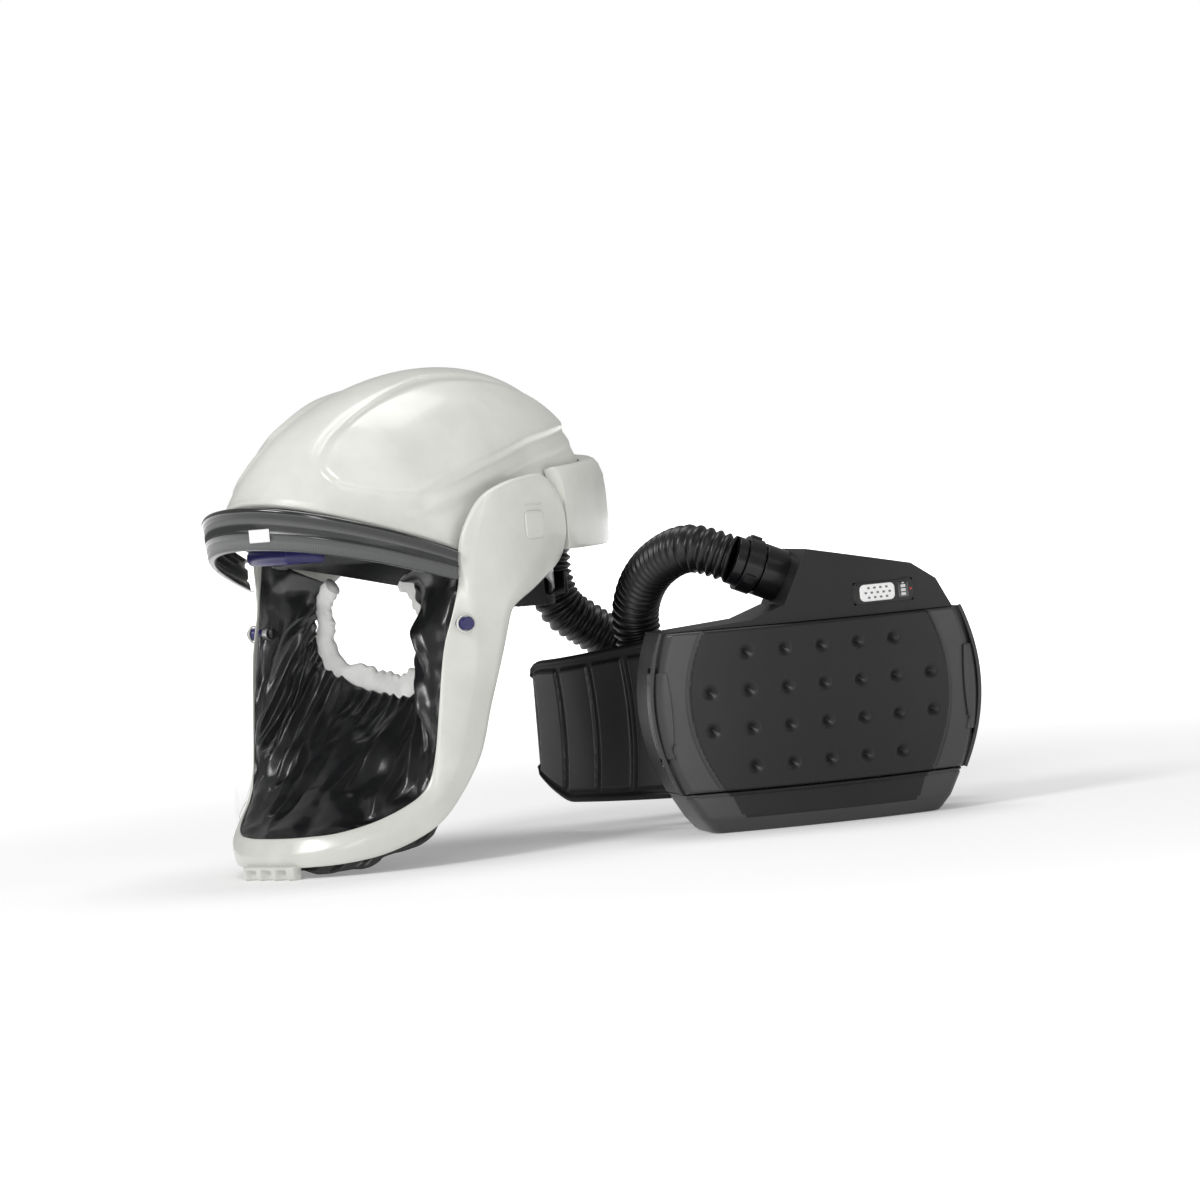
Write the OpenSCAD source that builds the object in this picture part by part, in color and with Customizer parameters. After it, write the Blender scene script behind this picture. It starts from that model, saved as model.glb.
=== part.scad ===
// Powered air respirator: a helmet with a tilting visor, a corrugated breathing
// hose and a belt-worn blower with its filter, fan and battery.
// +Z is up. The chin of the visor frame and the foot of the battery stand on z = 0.
// The helmet faces forward and to the left, the blower's cover faces forward.

/* [Helmet] */
// Length of the helmet over the visor
helmet_length = 326; // [322:1:330]
// Width of the helmet over the visor frame
helmet_width = 216; // [214:1:220]
// Height of the crown above the chin
crown_height = 329; // [326:1:334]
// Height of the visor's tilt axis above the chin
pivot_height = 217; // [216:1:218]
// Thickness of the visor frame's wall
frame_wall = 6; // [5:0.5:6]
// Thickness of the clear visor
visor_wall = 1.5; // [1:0.5:2]
// Thickness of the helmet shell
shell_wall = 3; // [2.5:0.5:3.5]

/* [Blower] */
// Width of the blower over its sides
blower_width = 226; // [222:1:230]
// Depth of the blower from its back to the middle of its cover
blower_depth = 70; // [70:1:74]
// Height of the seam on top of the filter cover
cover_top = 137; // [136:1:138]
// Height of the seam between the filter cover and the battery
battery_top = 28; // [27:0.5:28.5]
// Thickness of the blower's housing walls
housing_wall = 2.5; // [2:0.5:3]
// Spacing of the dimples in the filter cover
dimple_pitch = 25.5; // [24:0.5:26]

/* [Hose] */
// Outer diameter of the corrugated hose
hose_diameter = 33; // [32:0.5:34]

/* [Belt pad] */
// Radius of the pad's outer face round the wearer's back
pad_radius = 170; // [168:1:172]
// Height of the pad
pad_height = 112; // [100:1:114]

/* [Hidden] */
$fn = 96;

// Where the two units stand, and how they are turned about the vertical
helmet_place = [-112.6, 6.7, 0];
helmet_turn = 228;
blower_place = [135.4, 6.7, 0];
blower_turn = 13;

module in_helmet() {
    translate(helmet_place) rotate([0, 0, helmet_turn]) children();
}

module in_blower() {
    translate(blower_place) rotate([0, 0, blower_turn]) children();
}

// Mirrors a helmet piece to both sides of the head
module both_sides() {
    for (side = [0, 1])
        mirror([0, side, 0]) children();
}

// One thin solid between a front and a back grid of points. A wrapped grid
// closes on itself round its columns. A capped one has flat last rows.
module skin(front, back, wrapped = false, capped = false) {
    rows = len(front);
    cols = len(front[0]);
    last_col = wrapped ? cols - 1 : cols - 2;
    back_start = rows * cols;
    function at(row, col) = row * cols + col % cols;
    points = concat([for (row = front) each row], [for (row = back) each row]);
    sheet = [
        for (r = [0 : rows - 2]) for (c = [0 : last_col])
        each [[at(r, c), at(r + 1, c), at(r + 1, c + 1)], [at(r, c), at(r + 1, c + 1), at(r, c + 1)]]
    ];
    reversed = [
        for (f = sheet) [f[2] + back_start, f[1] + back_start, f[0] + back_start]
    ];
    function strip(a, b) = [[a, b, b + back_start], [a, b + back_start, a + back_start]];
    first_wall = [for (c = [0 : last_col]) each strip(at(0, c), at(0, c + 1))];
    last_wall = [for (c = [0 : last_col]) each strip(at(rows - 1, c + 1), at(rows - 1, c))];
    start_wall = [for (r = [0 : rows - 2]) each strip(at(r + 1, 0), at(r, 0))];
    end_wall = [for (r = [0 : rows - 2]) each strip(at(r, cols - 1), at(r + 1, cols - 1))];
    top = rows - 1;
    caps = [
        [for (c = [cols - 1 : -1 : 0]) at(top, c)],
        [for (c = [0 : cols - 1]) at(top, c) + back_start]
    ];
    polyhedron(points, concat(
        sheet, reversed, first_wall,
        capped ? caps : last_wall,
        wrapped ? [] : concat(start_wall, end_wall)
    ));
}

// ---------------------------------------------------------------- helmet shape
// In the helmet's own frame +X is forward, +Y is the wearer's left. The visor
// frame's outline in plan is an ellipse round plan_centre.
plan_centre = 8;
half_length = helmet_length / 2;
half_width = helmet_width / 2;
brow_height = 243;
tilt_lobe = 36;
arm_gap = 0.7;

function plan_point(turn, inset) =
    [plan_centre + (half_length - inset) * cos(turn), (half_width - inset) * sin(turn)];

// The outline in plan as a band between two insets, from one turn to another
function plan_band(outer, inner, from, to, steps = 48) = concat(
    [for (i = [0 : steps]) plan_point(from + (to - from) * i / steps, outer)],
    [for (i = [steps : -1 : 0]) plan_point(from + (to - from) * i / steps, inner)]
);

// The dome: an ellipsoid whose rows shift backward as they rise to the crown
dome_base = 200;
dome_centre = plan_centre + 2;
dome_length = half_length - 5;
dome_width = half_width - 11;
dome_rise = crown_height - dome_base;
crown_shift = 28;
dome_top = 0.985;

function dome_point(turn, z, inset) =
    let (
        t = (z - dome_base) / (dome_rise - inset),
        r = sqrt(max(0, 1 - t * t))
    )
    [
        dome_centre - crown_shift * t * t + (dome_length - inset) * r * cos(turn),
        (dome_width - inset) * r * sin(turn),
        z
    ];

// The shell's rim: along the brow line in front, low beside and behind the ears
rim_low = 205;
rim_break = 60;
function rim_height(turn) =
    let (forward = plan_centre + half_length * cos(turn))
    forward > rim_break
        ? rim_low + 2 + (brow_height + 2 - rim_low) * (forward - rim_break) / (170 - rim_break)
        : rim_low;

brim_out = 5;

function dome_grid(inset, rows, cols) =
    let (top = dome_base + dome_rise * dome_top - inset)
    [for (i = [0 : rows]) [for (j = [0 : cols - 1])
        let (
            turn = 360 * j / cols,
            low = rim_height(turn),
            share = sin(90 * i / rows),
            brim = i == 0 ? brim_out * max(0, cos(turn)) : 0
        )
        dome_point(turn, low + (top - low) * share, inset) + [brim, 0, 0]
    ]];

module helmet_shell() {
    color("gainsboro") in_helmet()
    skin(dome_grid(0, 10, 48), dome_grid(shell_wall, 10, 48), wrapped = true, capped = true);
}

// Rear cover: a raised housing round the back of the shell, over the air inlet
cover_low = 198;
cover_rear_high = 262;
cover_front_high = 254;
cover_start = 107;

module rear_cover() {
    function cover_turn(j) = cover_start + (360 - 2 * cover_start) * j / 28;
    function cover_high(turn) =
        cover_front_high + (cover_rear_high - cover_front_high) * (1 - abs(turn - 180) / (180 - cover_start));
    outer = [for (i = [0 : 5]) [for (j = [0 : 28])
        let (
            turn = cover_turn(j),
            z = cover_low + (cover_high(turn) - cover_low) * i / 5,
            lean = i < 4 ? 0 : (i - 3) * (i - 3) * 1.3
        )
        [each plan_point(turn, 0.5 + lean), z]
    ]];
    inner = [for (i = [0 : 5]) [for (j = [0 : 28])
        let (
            turn = cover_turn(j),
            z = cover_low + (cover_high(turn) - 2 - cover_low) * i / 5,
            wall = dome_point(turn, max(z, dome_base), -1.2)
        )
        wall
    ]];
    color("gainsboro") in_helmet() skin(outer, inner);
}

// Pivot mounts: a pad on each side of the shell with the pin of the visor's tilt
pivot_pin_r = 5;
pivot_pad_r = 12;
shell_side = half_width - 11;
arm_inside = half_width - frame_wall - arm_gap;

module pivot_mounts() {
    color("dimgray") in_helmet() both_sides()
    translate([0, 0, pivot_height]) rotate([-90, 0, 0]) {
        translate([0, 0, shell_side + 0.2])
        cylinder(r = pivot_pad_r, h = arm_inside - shell_side - 0.5);
        translate([0, 0, arm_inside - 1]) cylinder(r = pivot_pin_r, h = 5.5);
    }
}

// Air duct: carries air from the inlet at the back, over the crown, to the brow
module air_duct() {
    duct_half = 26;
    function duct_point(i, side, inset) =
        let (
            climb = -66 + 140 * i / 16,
            shell = dome_point(0, dome_base, inset)[0] - plan_centre,
            rise = dome_rise - inset
        )
        [plan_centre - 20 * cos(climb) + shell * sin(climb) * 0.9, side, dome_base + rise * cos(climb) * 0.96];
    outer = [for (i = [0 : 16]) [for (s = [-1 : 0.5 : 1]) duct_point(i, s * duct_half, 10 + 4 * s * s)]];
    inner = [for (i = [0 : 16]) [for (s = [-1 : 0.5 : 1]) duct_point(i, s * duct_half, 20 + 2 * s * s)]];
    color("dimgray") in_helmet() skin(outer, inner);
}

// Hose inlet: the elbow under the rear cover that the hose plugs into
inlet_forward = -127;
inlet_low = 196;

module hose_inlet() {
    color("dimgray") in_helmet()
    translate([inlet_forward, 0, 0]) {
        translate([0, 0, inlet_low]) difference() {
            cylinder(r = 15, h = 26);
            translate([0, 0, -1]) cylinder(r = 12.5, h = 24);
        }
    }
}

// Harness: headband, straps over the crown and the ratchet at the nape
band_length = 104;
band_width = 82;
band_high = 214;
nape_high = 174;
nape_drop = band_high - nape_high;

band_centre = 8;

function band_point(turn, inset, up) = [
    band_centre + (band_length - inset) * cos(turn),
    (band_width - inset) * sin(turn),
    band_high - nape_drop * pow((1 - cos(turn)) / 2, 2) + up
];

module head_strip(from, to, outset, wall, low, high, steps) {
    function row(inset, up) = [
        for (j = [0 : steps]) band_point(from + (to - from) * j / steps, inset, up)
    ];
    skin(
        [for (i = [0 : 2]) row(-outset, low + (high - low) * i / 2)],
        [for (i = [0 : 2]) row(wall - outset, low + (high - low) * i / 2)]
    );
}

module headband() {
    color("darkslateblue") in_helmet() head_strip(-153, 153, 2, 2, -11, 11, 32);
}

module sweatband() {
    color("black") in_helmet() head_strip(-62, 62, -0.3, 3, -12, 12, 12);
}

module crown_straps() {
    strap_half = 9;
    function strap_row(spin, inset, side) = [
        for (j = [0 : 16])
        let (climb = 180 * j / 16, out = cos(climb), up = sin(climb))
        [
            band_centre + (band_length - 4 - inset) * out * cos(spin) - side * sin(spin),
            (band_width - 4 - inset) * out * sin(spin) + side * cos(spin),
            band_high + 13 + (66 - inset) * up
        ]
    ];
    color("black") in_helmet()
    for (spin = [38, -38])
        skin(
            [for (i = [-1, 0, 1]) strap_row(spin, spin > 0 ? 0 : 2, i * strap_half)],
            [for (i = [-1, 0, 1]) strap_row(spin, spin > 0 ? 1.6 : 3.6, i * strap_half)]
        );
}

// Clips that hold the headband to the shell
module harness_clips() {
    clip_wide = 12;
    color("dimgray") in_helmet()
    for (turn = [38, 142, 218, 322])
        translate([band_centre + band_length * cos(turn) + 2 * sign(cos(turn)), band_width * sin(turn), 0])
        rotate([0, 0, turn])
        translate([3, -clip_wide / 2, band_high - 2]) cube([9, clip_wide, 8]);
}

// Nape ratchet: a knob whose turning draws the two tails of the headband in
knob_forward = -96;
knob_r = 16;
knob_thick = 14;

module nape_housing() {
    color("black") in_helmet() translate([knob_forward, 0, nape_high])
    difference() {
        translate([2, -34, -15]) cube([10, 68, 30]);
        translate([5, -40, -8]) cube([4, 80, 16]);
        translate([1, 0, 0]) rotate([0, 90, 0]) cylinder(r = 3.05, h = 12);
    }
}

module ratchet_knob() {
    color("black") in_helmet() translate([knob_forward, 0, nape_high]) rotate([0, 90, 0]) {
        difference() {
            translate([0, 0, 1.5 - knob_thick]) cylinder(r = knob_r, h = knob_thick);
            for (i = [0 : 11])
                rotate([0, 0, i * 30]) translate([knob_r + 0.6, 0, 0.5 - knob_thick])
                cylinder(r = 2.2, h = knob_thick + 3);
        }
        cylinder(r = 3, h = 4.8);
    }
}

// Each tail is a toothed bar; one lies above the knob's shaft, one below
module band_tail(side) {
    color("black") in_helmet() translate([knob_forward, 0, nape_high])
    mirror([0, side > 0 ? 0 : 1, 0])
    difference() {
        translate([5.4, 12, -7.6]) cube([3.2, 38, 15.2]);
        for (i = [0 : 3])
            translate([5, 16 + 4 * i, -1.5]) cube([4, 1.6, 3]);
    }
}
module band_tail_left() { band_tail(1); }
module band_tail_right() { band_tail(-1); }

// Visor frame: a ring on the plan's ellipse, cut to its outline seen from the
// side, with a boss on each side that turns on the pivot pin
chin_high = 27;
arm_profile = [
    [-36, 192], [26, 164], [34, 143], [45, 115], [57, 82], [59, 70], [96, 26], [128, 12],
    [158, 3], [180, 0], [180, chin_high], [155, chin_high + 1], [132, 34], [109, 46], [99, 58],
    [95, 72], [82, 143], [68, 184], [66, 206], [53, 234], [25, 247], [-36, 254]
];

module side_cut(profile) {
    rotate([90, 0, 0]) translate([0, 0, -200]) linear_extrude(400) polygon(profile);
}

module frame_ring(outer, inner, low, high) {
    translate([0, 0, low]) linear_extrude(high - low)
    polygon(plan_band(outer, inner, -112, 112, 64));
}

module visor_frame() {
    color("gainsboro") in_helmet()
    difference() {
        union() {
            intersection() {
                frame_ring(0, frame_wall, 0, 260);
                side_cut(arm_profile);
                rotate([90, 0, 0]) translate([0, 0, -200]) linear_extrude(400) union() {
                    translate([0, pivot_height]) circle(r = tilt_lobe);
                    translate([0, 0]) square([200, 260]);
                }
            }
            translate([half_length + plan_centre - 10, -24, 0]) cube([10, 48, 8]);
            both_sides() translate([0, half_width - frame_wall - 0.4, pivot_height])
            rotate([-90, 0, 0]) cylinder(r = 9, h = frame_wall);
        }
        for (i = [-1 : 1])
            translate([half_length + plan_centre - 4, i * 14 - 4, -1]) cube([3, 8, 7]);
        both_sides() translate([0, 90, pivot_height]) rotate([-90, 0, 0])
        cylinder(r = pivot_pin_r + 0.05, h = half_width - 90 - 1);
        both_sides() translate([button_forward, 80, button_height]) rotate([-90, 0, 0])
        cylinder(r = button_r + 0.1, h = 40);
    }
}

// Badges: blank covers over the pivots
module pivot_badges() {
    color("whitesmoke") in_helmet() both_sides()
    translate([-8, half_width - 0.02, pivot_height - 10]) cube([17, 1.2, 20]);
}

visor_profile = [
    [180, chin_high + 0.2], [155, chin_high + 1.2], [132, 34.2], [109, 46.2], [99.2, 58.2],
    [95.2, 72], [82.2, 143], [68.2, 184], [69, 186], [120, 203], [180, 221]
];

module visor() {
    color([0.8, 0.9, 0.95, 0.4]) in_helmet() intersection() {
        frame_ring(3, 3 + visor_wall, 20, 240);
        side_cut(visor_profile);
    }
}

brow_profile = [
    [68.6, 187], [69, 186.2], [120, 203.2], [180, 221.2],
    [180, 243], [150, 232], [110, 216], [68.6, 205.5]
];

module brow_band() {
    color("darkslategray") in_helmet() intersection() {
        frame_ring(-1, frame_wall, 180, 250);
        side_cut(brow_profile);
    }
}

module brow_label() {
    color("white") in_helmet() intersection() {
        frame_ring(-1.5, -1, 196, 240);
        translate([half_length - 10, 13, 222]) cube([30, 24, 9]);
    }
}

// Face seal: a gathered skirt of coated fabric from the frame to the face
seal_wall = 1.6;
opening_forward = 46;
opening_half = 58;
opening_mid = 152;
opening_rise = 47;

function seal_ring(share, back) =
    [for (j = [0 : 36])
        let (
            u = j / 18 - 1,
            edge = plan_point(62 * u, frame_wall + 1.5),
            climb = pow(abs(u), 5),
            edge_z = 9 + 6 * abs(u) + 172 * climb,
            round = 132 * u,
            face = [
                opening_forward - 10 * cos(round) + 14,
                opening_half * sin(round),
                opening_mid - opening_rise * cos(round)
            ],
            bulge = 8 * sin(180 * share) * (1 - climb)
        )
        [
            edge[0] + (face[0] - edge[0]) * share - back,
            edge[1] + (face[1] - edge[1]) * share,
            edge_z + (face[2] - edge_z) * share - bulge - back
        ]
    ];

module face_seal() {
    color("black") in_helmet() skin(
        [for (i = [0 : 6]) seal_ring(i / 6, 0)],
        [for (i = [0 : 6]) seal_ring(i / 6, seal_wall)]
    );
}

// Face seal edge: the white elastic round the face opening, a swept round rope
edge_r = 4.5;
module face_seal_edge() {
    function loop_point(round) = [
        opening_forward + 4 - 10 * cos(round) - 4.5,
        (opening_half - 7.5) * sin(round),
        opening_mid - (opening_rise - 8) * cos(round)
    ];
    route = [for (j = [0 : 28]) loop_point(132 * (j / 14 - 1))];
    color("white") in_helmet() tube(route, edge_r, 8);
}

// Release buttons in the visor's arms, each on its spring
button_forward = 67;
button_height = 157;
button_r = 5.5;

module release_button() {
    side = half_width * sqrt(1 - pow((button_forward - plan_centre) / half_length, 2));
    color("darkslateblue") in_helmet() translate([button_forward, 0, button_height])
    rotate([-90, 0, 0]) {
        translate([0, 0, side - 9]) cylinder(r = button_r, h = 10.5);
        translate([0, 0, side - 11.5]) cylinder(r = button_r + 1.5, h = 2.5);
    }
}
module button_left() { release_button(); }
module button_right() { in_helmet() mirror([0, 1, 0]) un_helmet() release_button(); }

module un_helmet() {
    rotate([0, 0, -helmet_turn]) translate(-helmet_place) children();
}

module button_springs() {
    side = half_width * sqrt(1 - pow((button_forward - plan_centre) / half_length, 2));
    color("silver") in_helmet() both_sides()
    translate([button_forward, side - 16, button_height]) rotate([-90, 0, 0])
    difference() {
        cylinder(r = 4, h = 4.4);
        translate([0, 0, -1]) cylinder(r = 3, h = 7);
    }
}

// ------------------------------------------------------------------------ hose
// A tube of regular sections along a route
module tube(route, radius, sides) {
    count = len(route);
    function unit(v) = v / norm(v);
    function heading(i) = unit(route[min(i + 1, count - 1)] - route[max(i - 1, 0)]);
    function carried(i) = i == 0
        ? unit(cross(heading(0), abs(heading(0)[2]) > 0.9 ? [1, 0, 0] : [0, 0, 1]))
        : let (old = carried(i - 1), h = heading(i)) unit(old - h * (old * h));
    rings = [for (i = [0 : count - 1])
        let (a = carried(i), b = cross(heading(i), a))
        [for (k = [0 : sides - 1]) route[i] + radius * (a * cos(360 * k / sides) + b * sin(360 * k / sides))]
    ];
    faces = concat(
        [[for (k = [0 : sides - 1]) k]],
        [for (i = [0 : count - 2]) for (k = [0 : sides - 1])
            let (a = i * sides + k, b = i * sides + (k + 1) % sides)
            each [[a, b + sides, b], [a, a + sides, b + sides]]],
        [[for (k = [sides - 1 : -1 : 0]) (count - 1) * sides + k]]
    );
    polyhedron([for (ring = rings) each ring], faces);
}

// Route of the hose's middle line: down from the helmet, a loop on the ground
// behind the blower, up behind the pad and over into the blower's connector
hose_route = [
    [-27.6, 101, 196], [-27.6, 101, 176], [-21, 105, 155], [-4, 112, 140], [22, 121, 120],
    [50, 131, 92], [78, 139, 58], [108, 145, 30], [146, 147, 18], [180, 134, 17.5],
    [196, 104, 17.5], [180, 78, 17.5], [142, 65, 20], [102, 59, 38], [66, 57, 68],
    [40, 55, 104], [30, 52, 138], [34, 36, 163], [48, 8, 182], [70, -22, 191], [97.2, -30.5, 181.6]
];
hose_steps = 2;

// Smooth curve through the route's points
function curve_point(p, q, r, s, t) = 0.5 * (
    2 * q + (r - p) * t + (2 * p - 5 * q + 4 * r - s) * t * t + (3 * q - p - 3 * r + s) * t * t * t
);
function smooth(route, steps) = concat(
    [for (i = [0 : len(route) - 2]) for (k = [0 : steps - 1])
        curve_point(route[max(i - 1, 0)], route[i], route[i + 1], route[min(i + 2, len(route) - 1)], k / steps)],
    [route[len(route) - 1]]
);

module breathing_hose() {
    color([0.1, 0.1, 0.1]) tube(smooth(hose_route, hose_steps), hose_diameter / 2, 12);
}

// ------------------------------------------------------------ blower's outline
// In the blower's own frame +X is to the right, +Y is toward the wearer's back.
// Its back face is y = 0 and the middle of its cover is y = -blower_depth.
cover_bow = 335;
widest = 88;
side_bow = 0.0042;
seam_y = -28;
tray_y = -50;

function side_at(z) = blower_width / 2 - side_bow * pow(z - widest, 2);

// The body's outline from the front, between two heights
module outline(low, high, inset) {
    steps = 8;
    heights = [for (i = [0 : steps]) low + (high - low) * i / steps];
    polygon(concat(
        [for (z = heights) [side_at(z) - inset, z]],
        [for (i = [steps : -1 : 0]) [inset - side_at(heights[i]), heights[i]]]
    ));
}

// The body's outline from above: a bowed front and a flat back
module plan(front, inset) {
    half = blower_width / 2 + 5;
    steps = 16;
    polygon(concat(
        [for (i = [0 : steps])
            let (x = half * (2 * i / steps - 1))
            [x, front + inset + x * x / (2 * cover_bow)]],
        [[half, -inset], [-half, -inset]]
    ));
}

module stand_up() {
    rotate([90, 0, 0]) translate([0, 0, -10]) linear_extrude(blower_depth + 30) children();
}

module body_block(low, high, front, inset) {
    intersection() {
        stand_up() outline(low, high, inset);
        translate([0, 0, low - 1]) linear_extrude(high - low + 2) plan(front, inset);
    }
}

// The tower over the body, with the outlet in its left slope
tower_outline = [
    [-100, cover_top], [-45, 141], [-22, 149], [-4, 185], [70, 169], [88, 157], [99, cover_top]
];

module tower(front, back, inset) {
    intersection() {
        stand_up() offset(delta = -inset) polygon(tower_outline);
        translate([0, 0, 100]) linear_extrude(100)
        intersection() {
            plan(front, inset);
            translate([-150, -200]) square([300, 200 + back - inset]);
        }
    }
}

// The room inside the tower, above the body's top wall
module tower_room() {
    difference() {
        tower(-66, -5, housing_wall);
        translate([-150, -100, cover_top - 20]) cube([300, 200, 20 + housing_wall]);
    }
}

// The way from the fan's outlet up into the tower
module tower_passage() {
    translate([-4, -28, cover_top - 8]) cube([36, 21, 16]);
}

outlet_at = [-22, -27, 171];
outlet_slope = 24;
outlet_r = 18;

// Places its children on the outlet's axis, pointing out of the tower
module on_outlet(out = 0) {
    translate(outlet_at) rotate([0, -90 + outlet_slope, 0]) translate([0, 0, out]) children();
}

module screw_places() {
    for (place = [[-84, 122], [84, 122], [-84, 44], [84, 44]])
        translate([place[0], 0, place[1]]) rotate([90, 0, 0]) children();
}

module rear_housing() {
    color([0.13, 0.13, 0.14]) in_blower() difference() {
        union() {
            body_block(battery_top, cover_top, -60, 0);
            tower(-60, -5, 0);
        }
        body_block(battery_top + housing_wall, cover_top - housing_wall, -60, housing_wall);
        tower_room();
        tower_passage();
        translate([-150, seam_y - 100, 0]) cube([300, 100, 200]);
        on_outlet(-30) cylinder(r = outlet_r + 0.1, h = 60);
        screw_places() translate([0, 0, -1]) cylinder(r = 1.6, h = 8);
    }
}

module front_housing() {
    color([0.12, 0.12, 0.13]) in_blower() difference() {
        union() {
            difference() {
                body_block(battery_top, cover_top, -66, 0);
                translate([-150, tray_y - 100, 0]) cube([300, 100, 200]);
            }
            tower(-66, -5, 0);
        }
        difference() {
            body_block(battery_top + housing_wall, cover_top - housing_wall, -66, housing_wall);
            translate([-150, seam_y - housing_wall, 0]) cube([300, housing_wall, 200]);
        }
        tower_room();
        translate([-150, seam_y, 0]) cube([300, 100, 300]);
        translate([fan_x, 0, fan_z]) rotate([90, 0, 0]) cylinder(r = 30, h = 60);
        on_outlet(-30) cylinder(r = outlet_r + 0.1, h = 60);
        panel_place() translate([-20, -12, -6]) cube([44, 12, 15]);
        panel_place() translate([-10, -1, -3]) cube([14, 6, 9]);
        latch_room();
    }
}

module housing_screws() {
    color("dimgray") in_blower() screw_places() {
        translate([0, 0, 0]) cylinder(r = 1.6, h = 6);
        translate([0, 0, -1.2]) cylinder(r = 3, h = 1.2);
    }
}

// Outlet: the socket in the tower and the hose's bayonet connector
module outlet_socket() {
    color([0.1, 0.1, 0.1]) in_blower() on_outlet(-14) difference() {
        cylinder(r = outlet_r, h = 20);
        translate([0, 0, -1]) cylinder(r = 14.1, h = 22);
    }
}

module connector_seal() {
    color("dimgray") in_blower() on_outlet(2)
    rotate_extrude() translate([13, 0]) square([1, 2]);
}

module hose_connector() {
    color([0.1, 0.1, 0.1]) in_blower() on_outlet(-8) difference() {
        union() {
            cylinder(r = 13, h = 34);
            translate([0, 0, 27.4]) cylinder(r = 16.5, h = 6.6);
            translate([0, 0, 14.2]) cylinder(r = 16, h = 2);
        }
        translate([0, 0, -1]) cylinder(r = 10.5, h = 36);
    }
}

module locking_collar() {
    color([0.14, 0.14, 0.15]) in_blower() on_outlet(8.4) difference() {
        union() {
            cylinder(r = 19, h = 10.6);
            for (i = [0 : 2])
                rotate([0, 0, 120 * i]) translate([18, -3, 2]) cube([2.4, 6, 7]);
        }
        translate([0, 0, -1]) cylinder(r = 13.05, h = 14);
    }
}

// ------------------------------------------------------------------- the fan
fan_x = -8;
fan_z = 82;
shaft_r = 2;

module on_fan(y) {
    translate([fan_x, y, fan_z]) rotate([90, 0, 0]) children();
}

module fan_scroll() {
    color("dimgray") in_blower() on_fan(-2.5) difference() {
        union() {
            cylinder(r = 46, h = 25.5);
            translate([6, 0, 6]) cube([32, 58, 19]);
        }
        translate([0, 0, 2]) cylinder(r = 44, h = 30);
        translate([8, 0, 8]) cube([28, 60, 15]);
        translate([0, 0, -1]) cylinder(r = 14.05, h = 5);
    }
}

module fan_motor() {
    color("silver") in_blower() on_fan(-2.5) difference() {
        cylinder(r = 14, h = 12);
        translate([0, 0, -1]) cylinder(r = 5, h = 14);
    }
}

module motor_bearings() {
    color("silver") in_blower() on_fan(-2.5)
    for (z = [1, 8])
        translate([0, 0, z]) difference() {
            cylinder(r = 5, h = 3);
            translate([0, 0, -1]) cylinder(r = shaft_r + 0.05, h = 5);
        }
}

module motor_shaft() {
    color("silver") in_blower() on_fan(-3.2) cylinder(r = shaft_r, h = 22);
}

module impeller() {
    color("whitesmoke") in_blower() on_fan(-16) difference() {
        union() {
            cylinder(r = 38, h = 1.5);
            cylinder(r = 8, h = 8);
            for (i = [0 : 17])
                rotate([0, 0, 20 * i]) translate([24, -0.7, 0]) cube([13.5, 1.4, 9.5]);
        }
        translate([0, 0, -1]) cylinder(r = shaft_r, h = 12);
    }
}

// -------------------------------------------------------------- control panel
// The panel lies on the tower's bowed face, over the cover, right of the middle.
// Its pocket is panel_depth deep, and -Y points out of the pocket.
panel_x = 46;
panel_z = 150;
panel_depth = 3.6;
panel_turn = asin(panel_x / cover_bow);

module panel_place() {
    translate([panel_x, -66 + panel_x * panel_x / (2 * cover_bow) + panel_depth, panel_z])
    rotate([0, 0, panel_turn]) children();
}

module control_panel() {
    color([0.08, 0.08, 0.08]) in_blower() panel_place() difference() {
        translate([-20, -panel_depth, -6]) cube([44, panel_depth, 15]);
        translate([-16.1, -6, -4.6]) cube([26.2, 12, 12.2]);
        translate([13, -6, -3.6]) cube([7, 12, 10.2]);
    }
}

module power_button() {
    color("whitesmoke") in_blower() panel_place()
    translate([-16, -5, -4.5]) cube([26, 3.6, 12]);
}

module battery_gauge() {
    color([0.1, 0.1, 0.1]) in_blower() panel_place()
    translate([13, -panel_depth, -3.6]) cube([7, 2, 10.2]);
}

module warning_light() {
    color("red") in_blower() panel_place()
    translate([21.2, -panel_depth - 0.4, 1]) cube([1.4, 0.4, 1.4]);
}

module circuit_board() {
    color("green") in_blower() panel_place() translate([-18, 3, -6]) cube([40, 1.6, 16]);
}

// --------------------------------------------------------------------- filter
cover_gap = 0.4;

// Recesses in the sides of the cover and the housing, for the latches
module latch_room() {
    for (side = [0, 1])
        mirror([side, 0, 0])
        translate([latch_x - 3.2, latch_pin_y - latch_reach - 5, latch_low - 3])
        cube([20, latch_reach + 11, latch_high - latch_low + 6]);
}

module filter_cover() {
    low = battery_top + cover_gap;
    high = cover_top - cover_gap;
    color([0.1, 0.1, 0.1]) in_blower() difference() {
        body_block(low, high, -blower_depth, 0);
        body_block(low + housing_wall, high - housing_wall, -blower_depth, housing_wall);
        translate([-150, tray_y - cover_gap, 0]) cube([300, 100, 200]);
        latch_room();
        for (col = [-3 : 3]) for (row = [-1.5 : 1.5])
            if (abs(col) < 3 || abs(row) < 1)
                translate([col * dimple_pitch, -blower_depth - 4, 82.5 + row * dimple_pitch])
                rotate([-90, 0, 0]) cylinder(r = 3, h = 20);
    }
}

module spark_arrestor() {
    color("silver") in_blower() difference() {
        translate([-74, -57.8, 38]) cube([148, 0.8, 88]);
        for (col = [-8 : 8]) for (row = [-4 : 4])
            translate([col * 8 - 2.6, -59, 82 + row * 9 - 2.6]) cube([5.2, 4, 5.2]);
    }
}

module prefilter() {
    color("white") in_blower() translate([-74, -57, 38]) cube([148, 5, 88]);
}

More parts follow.
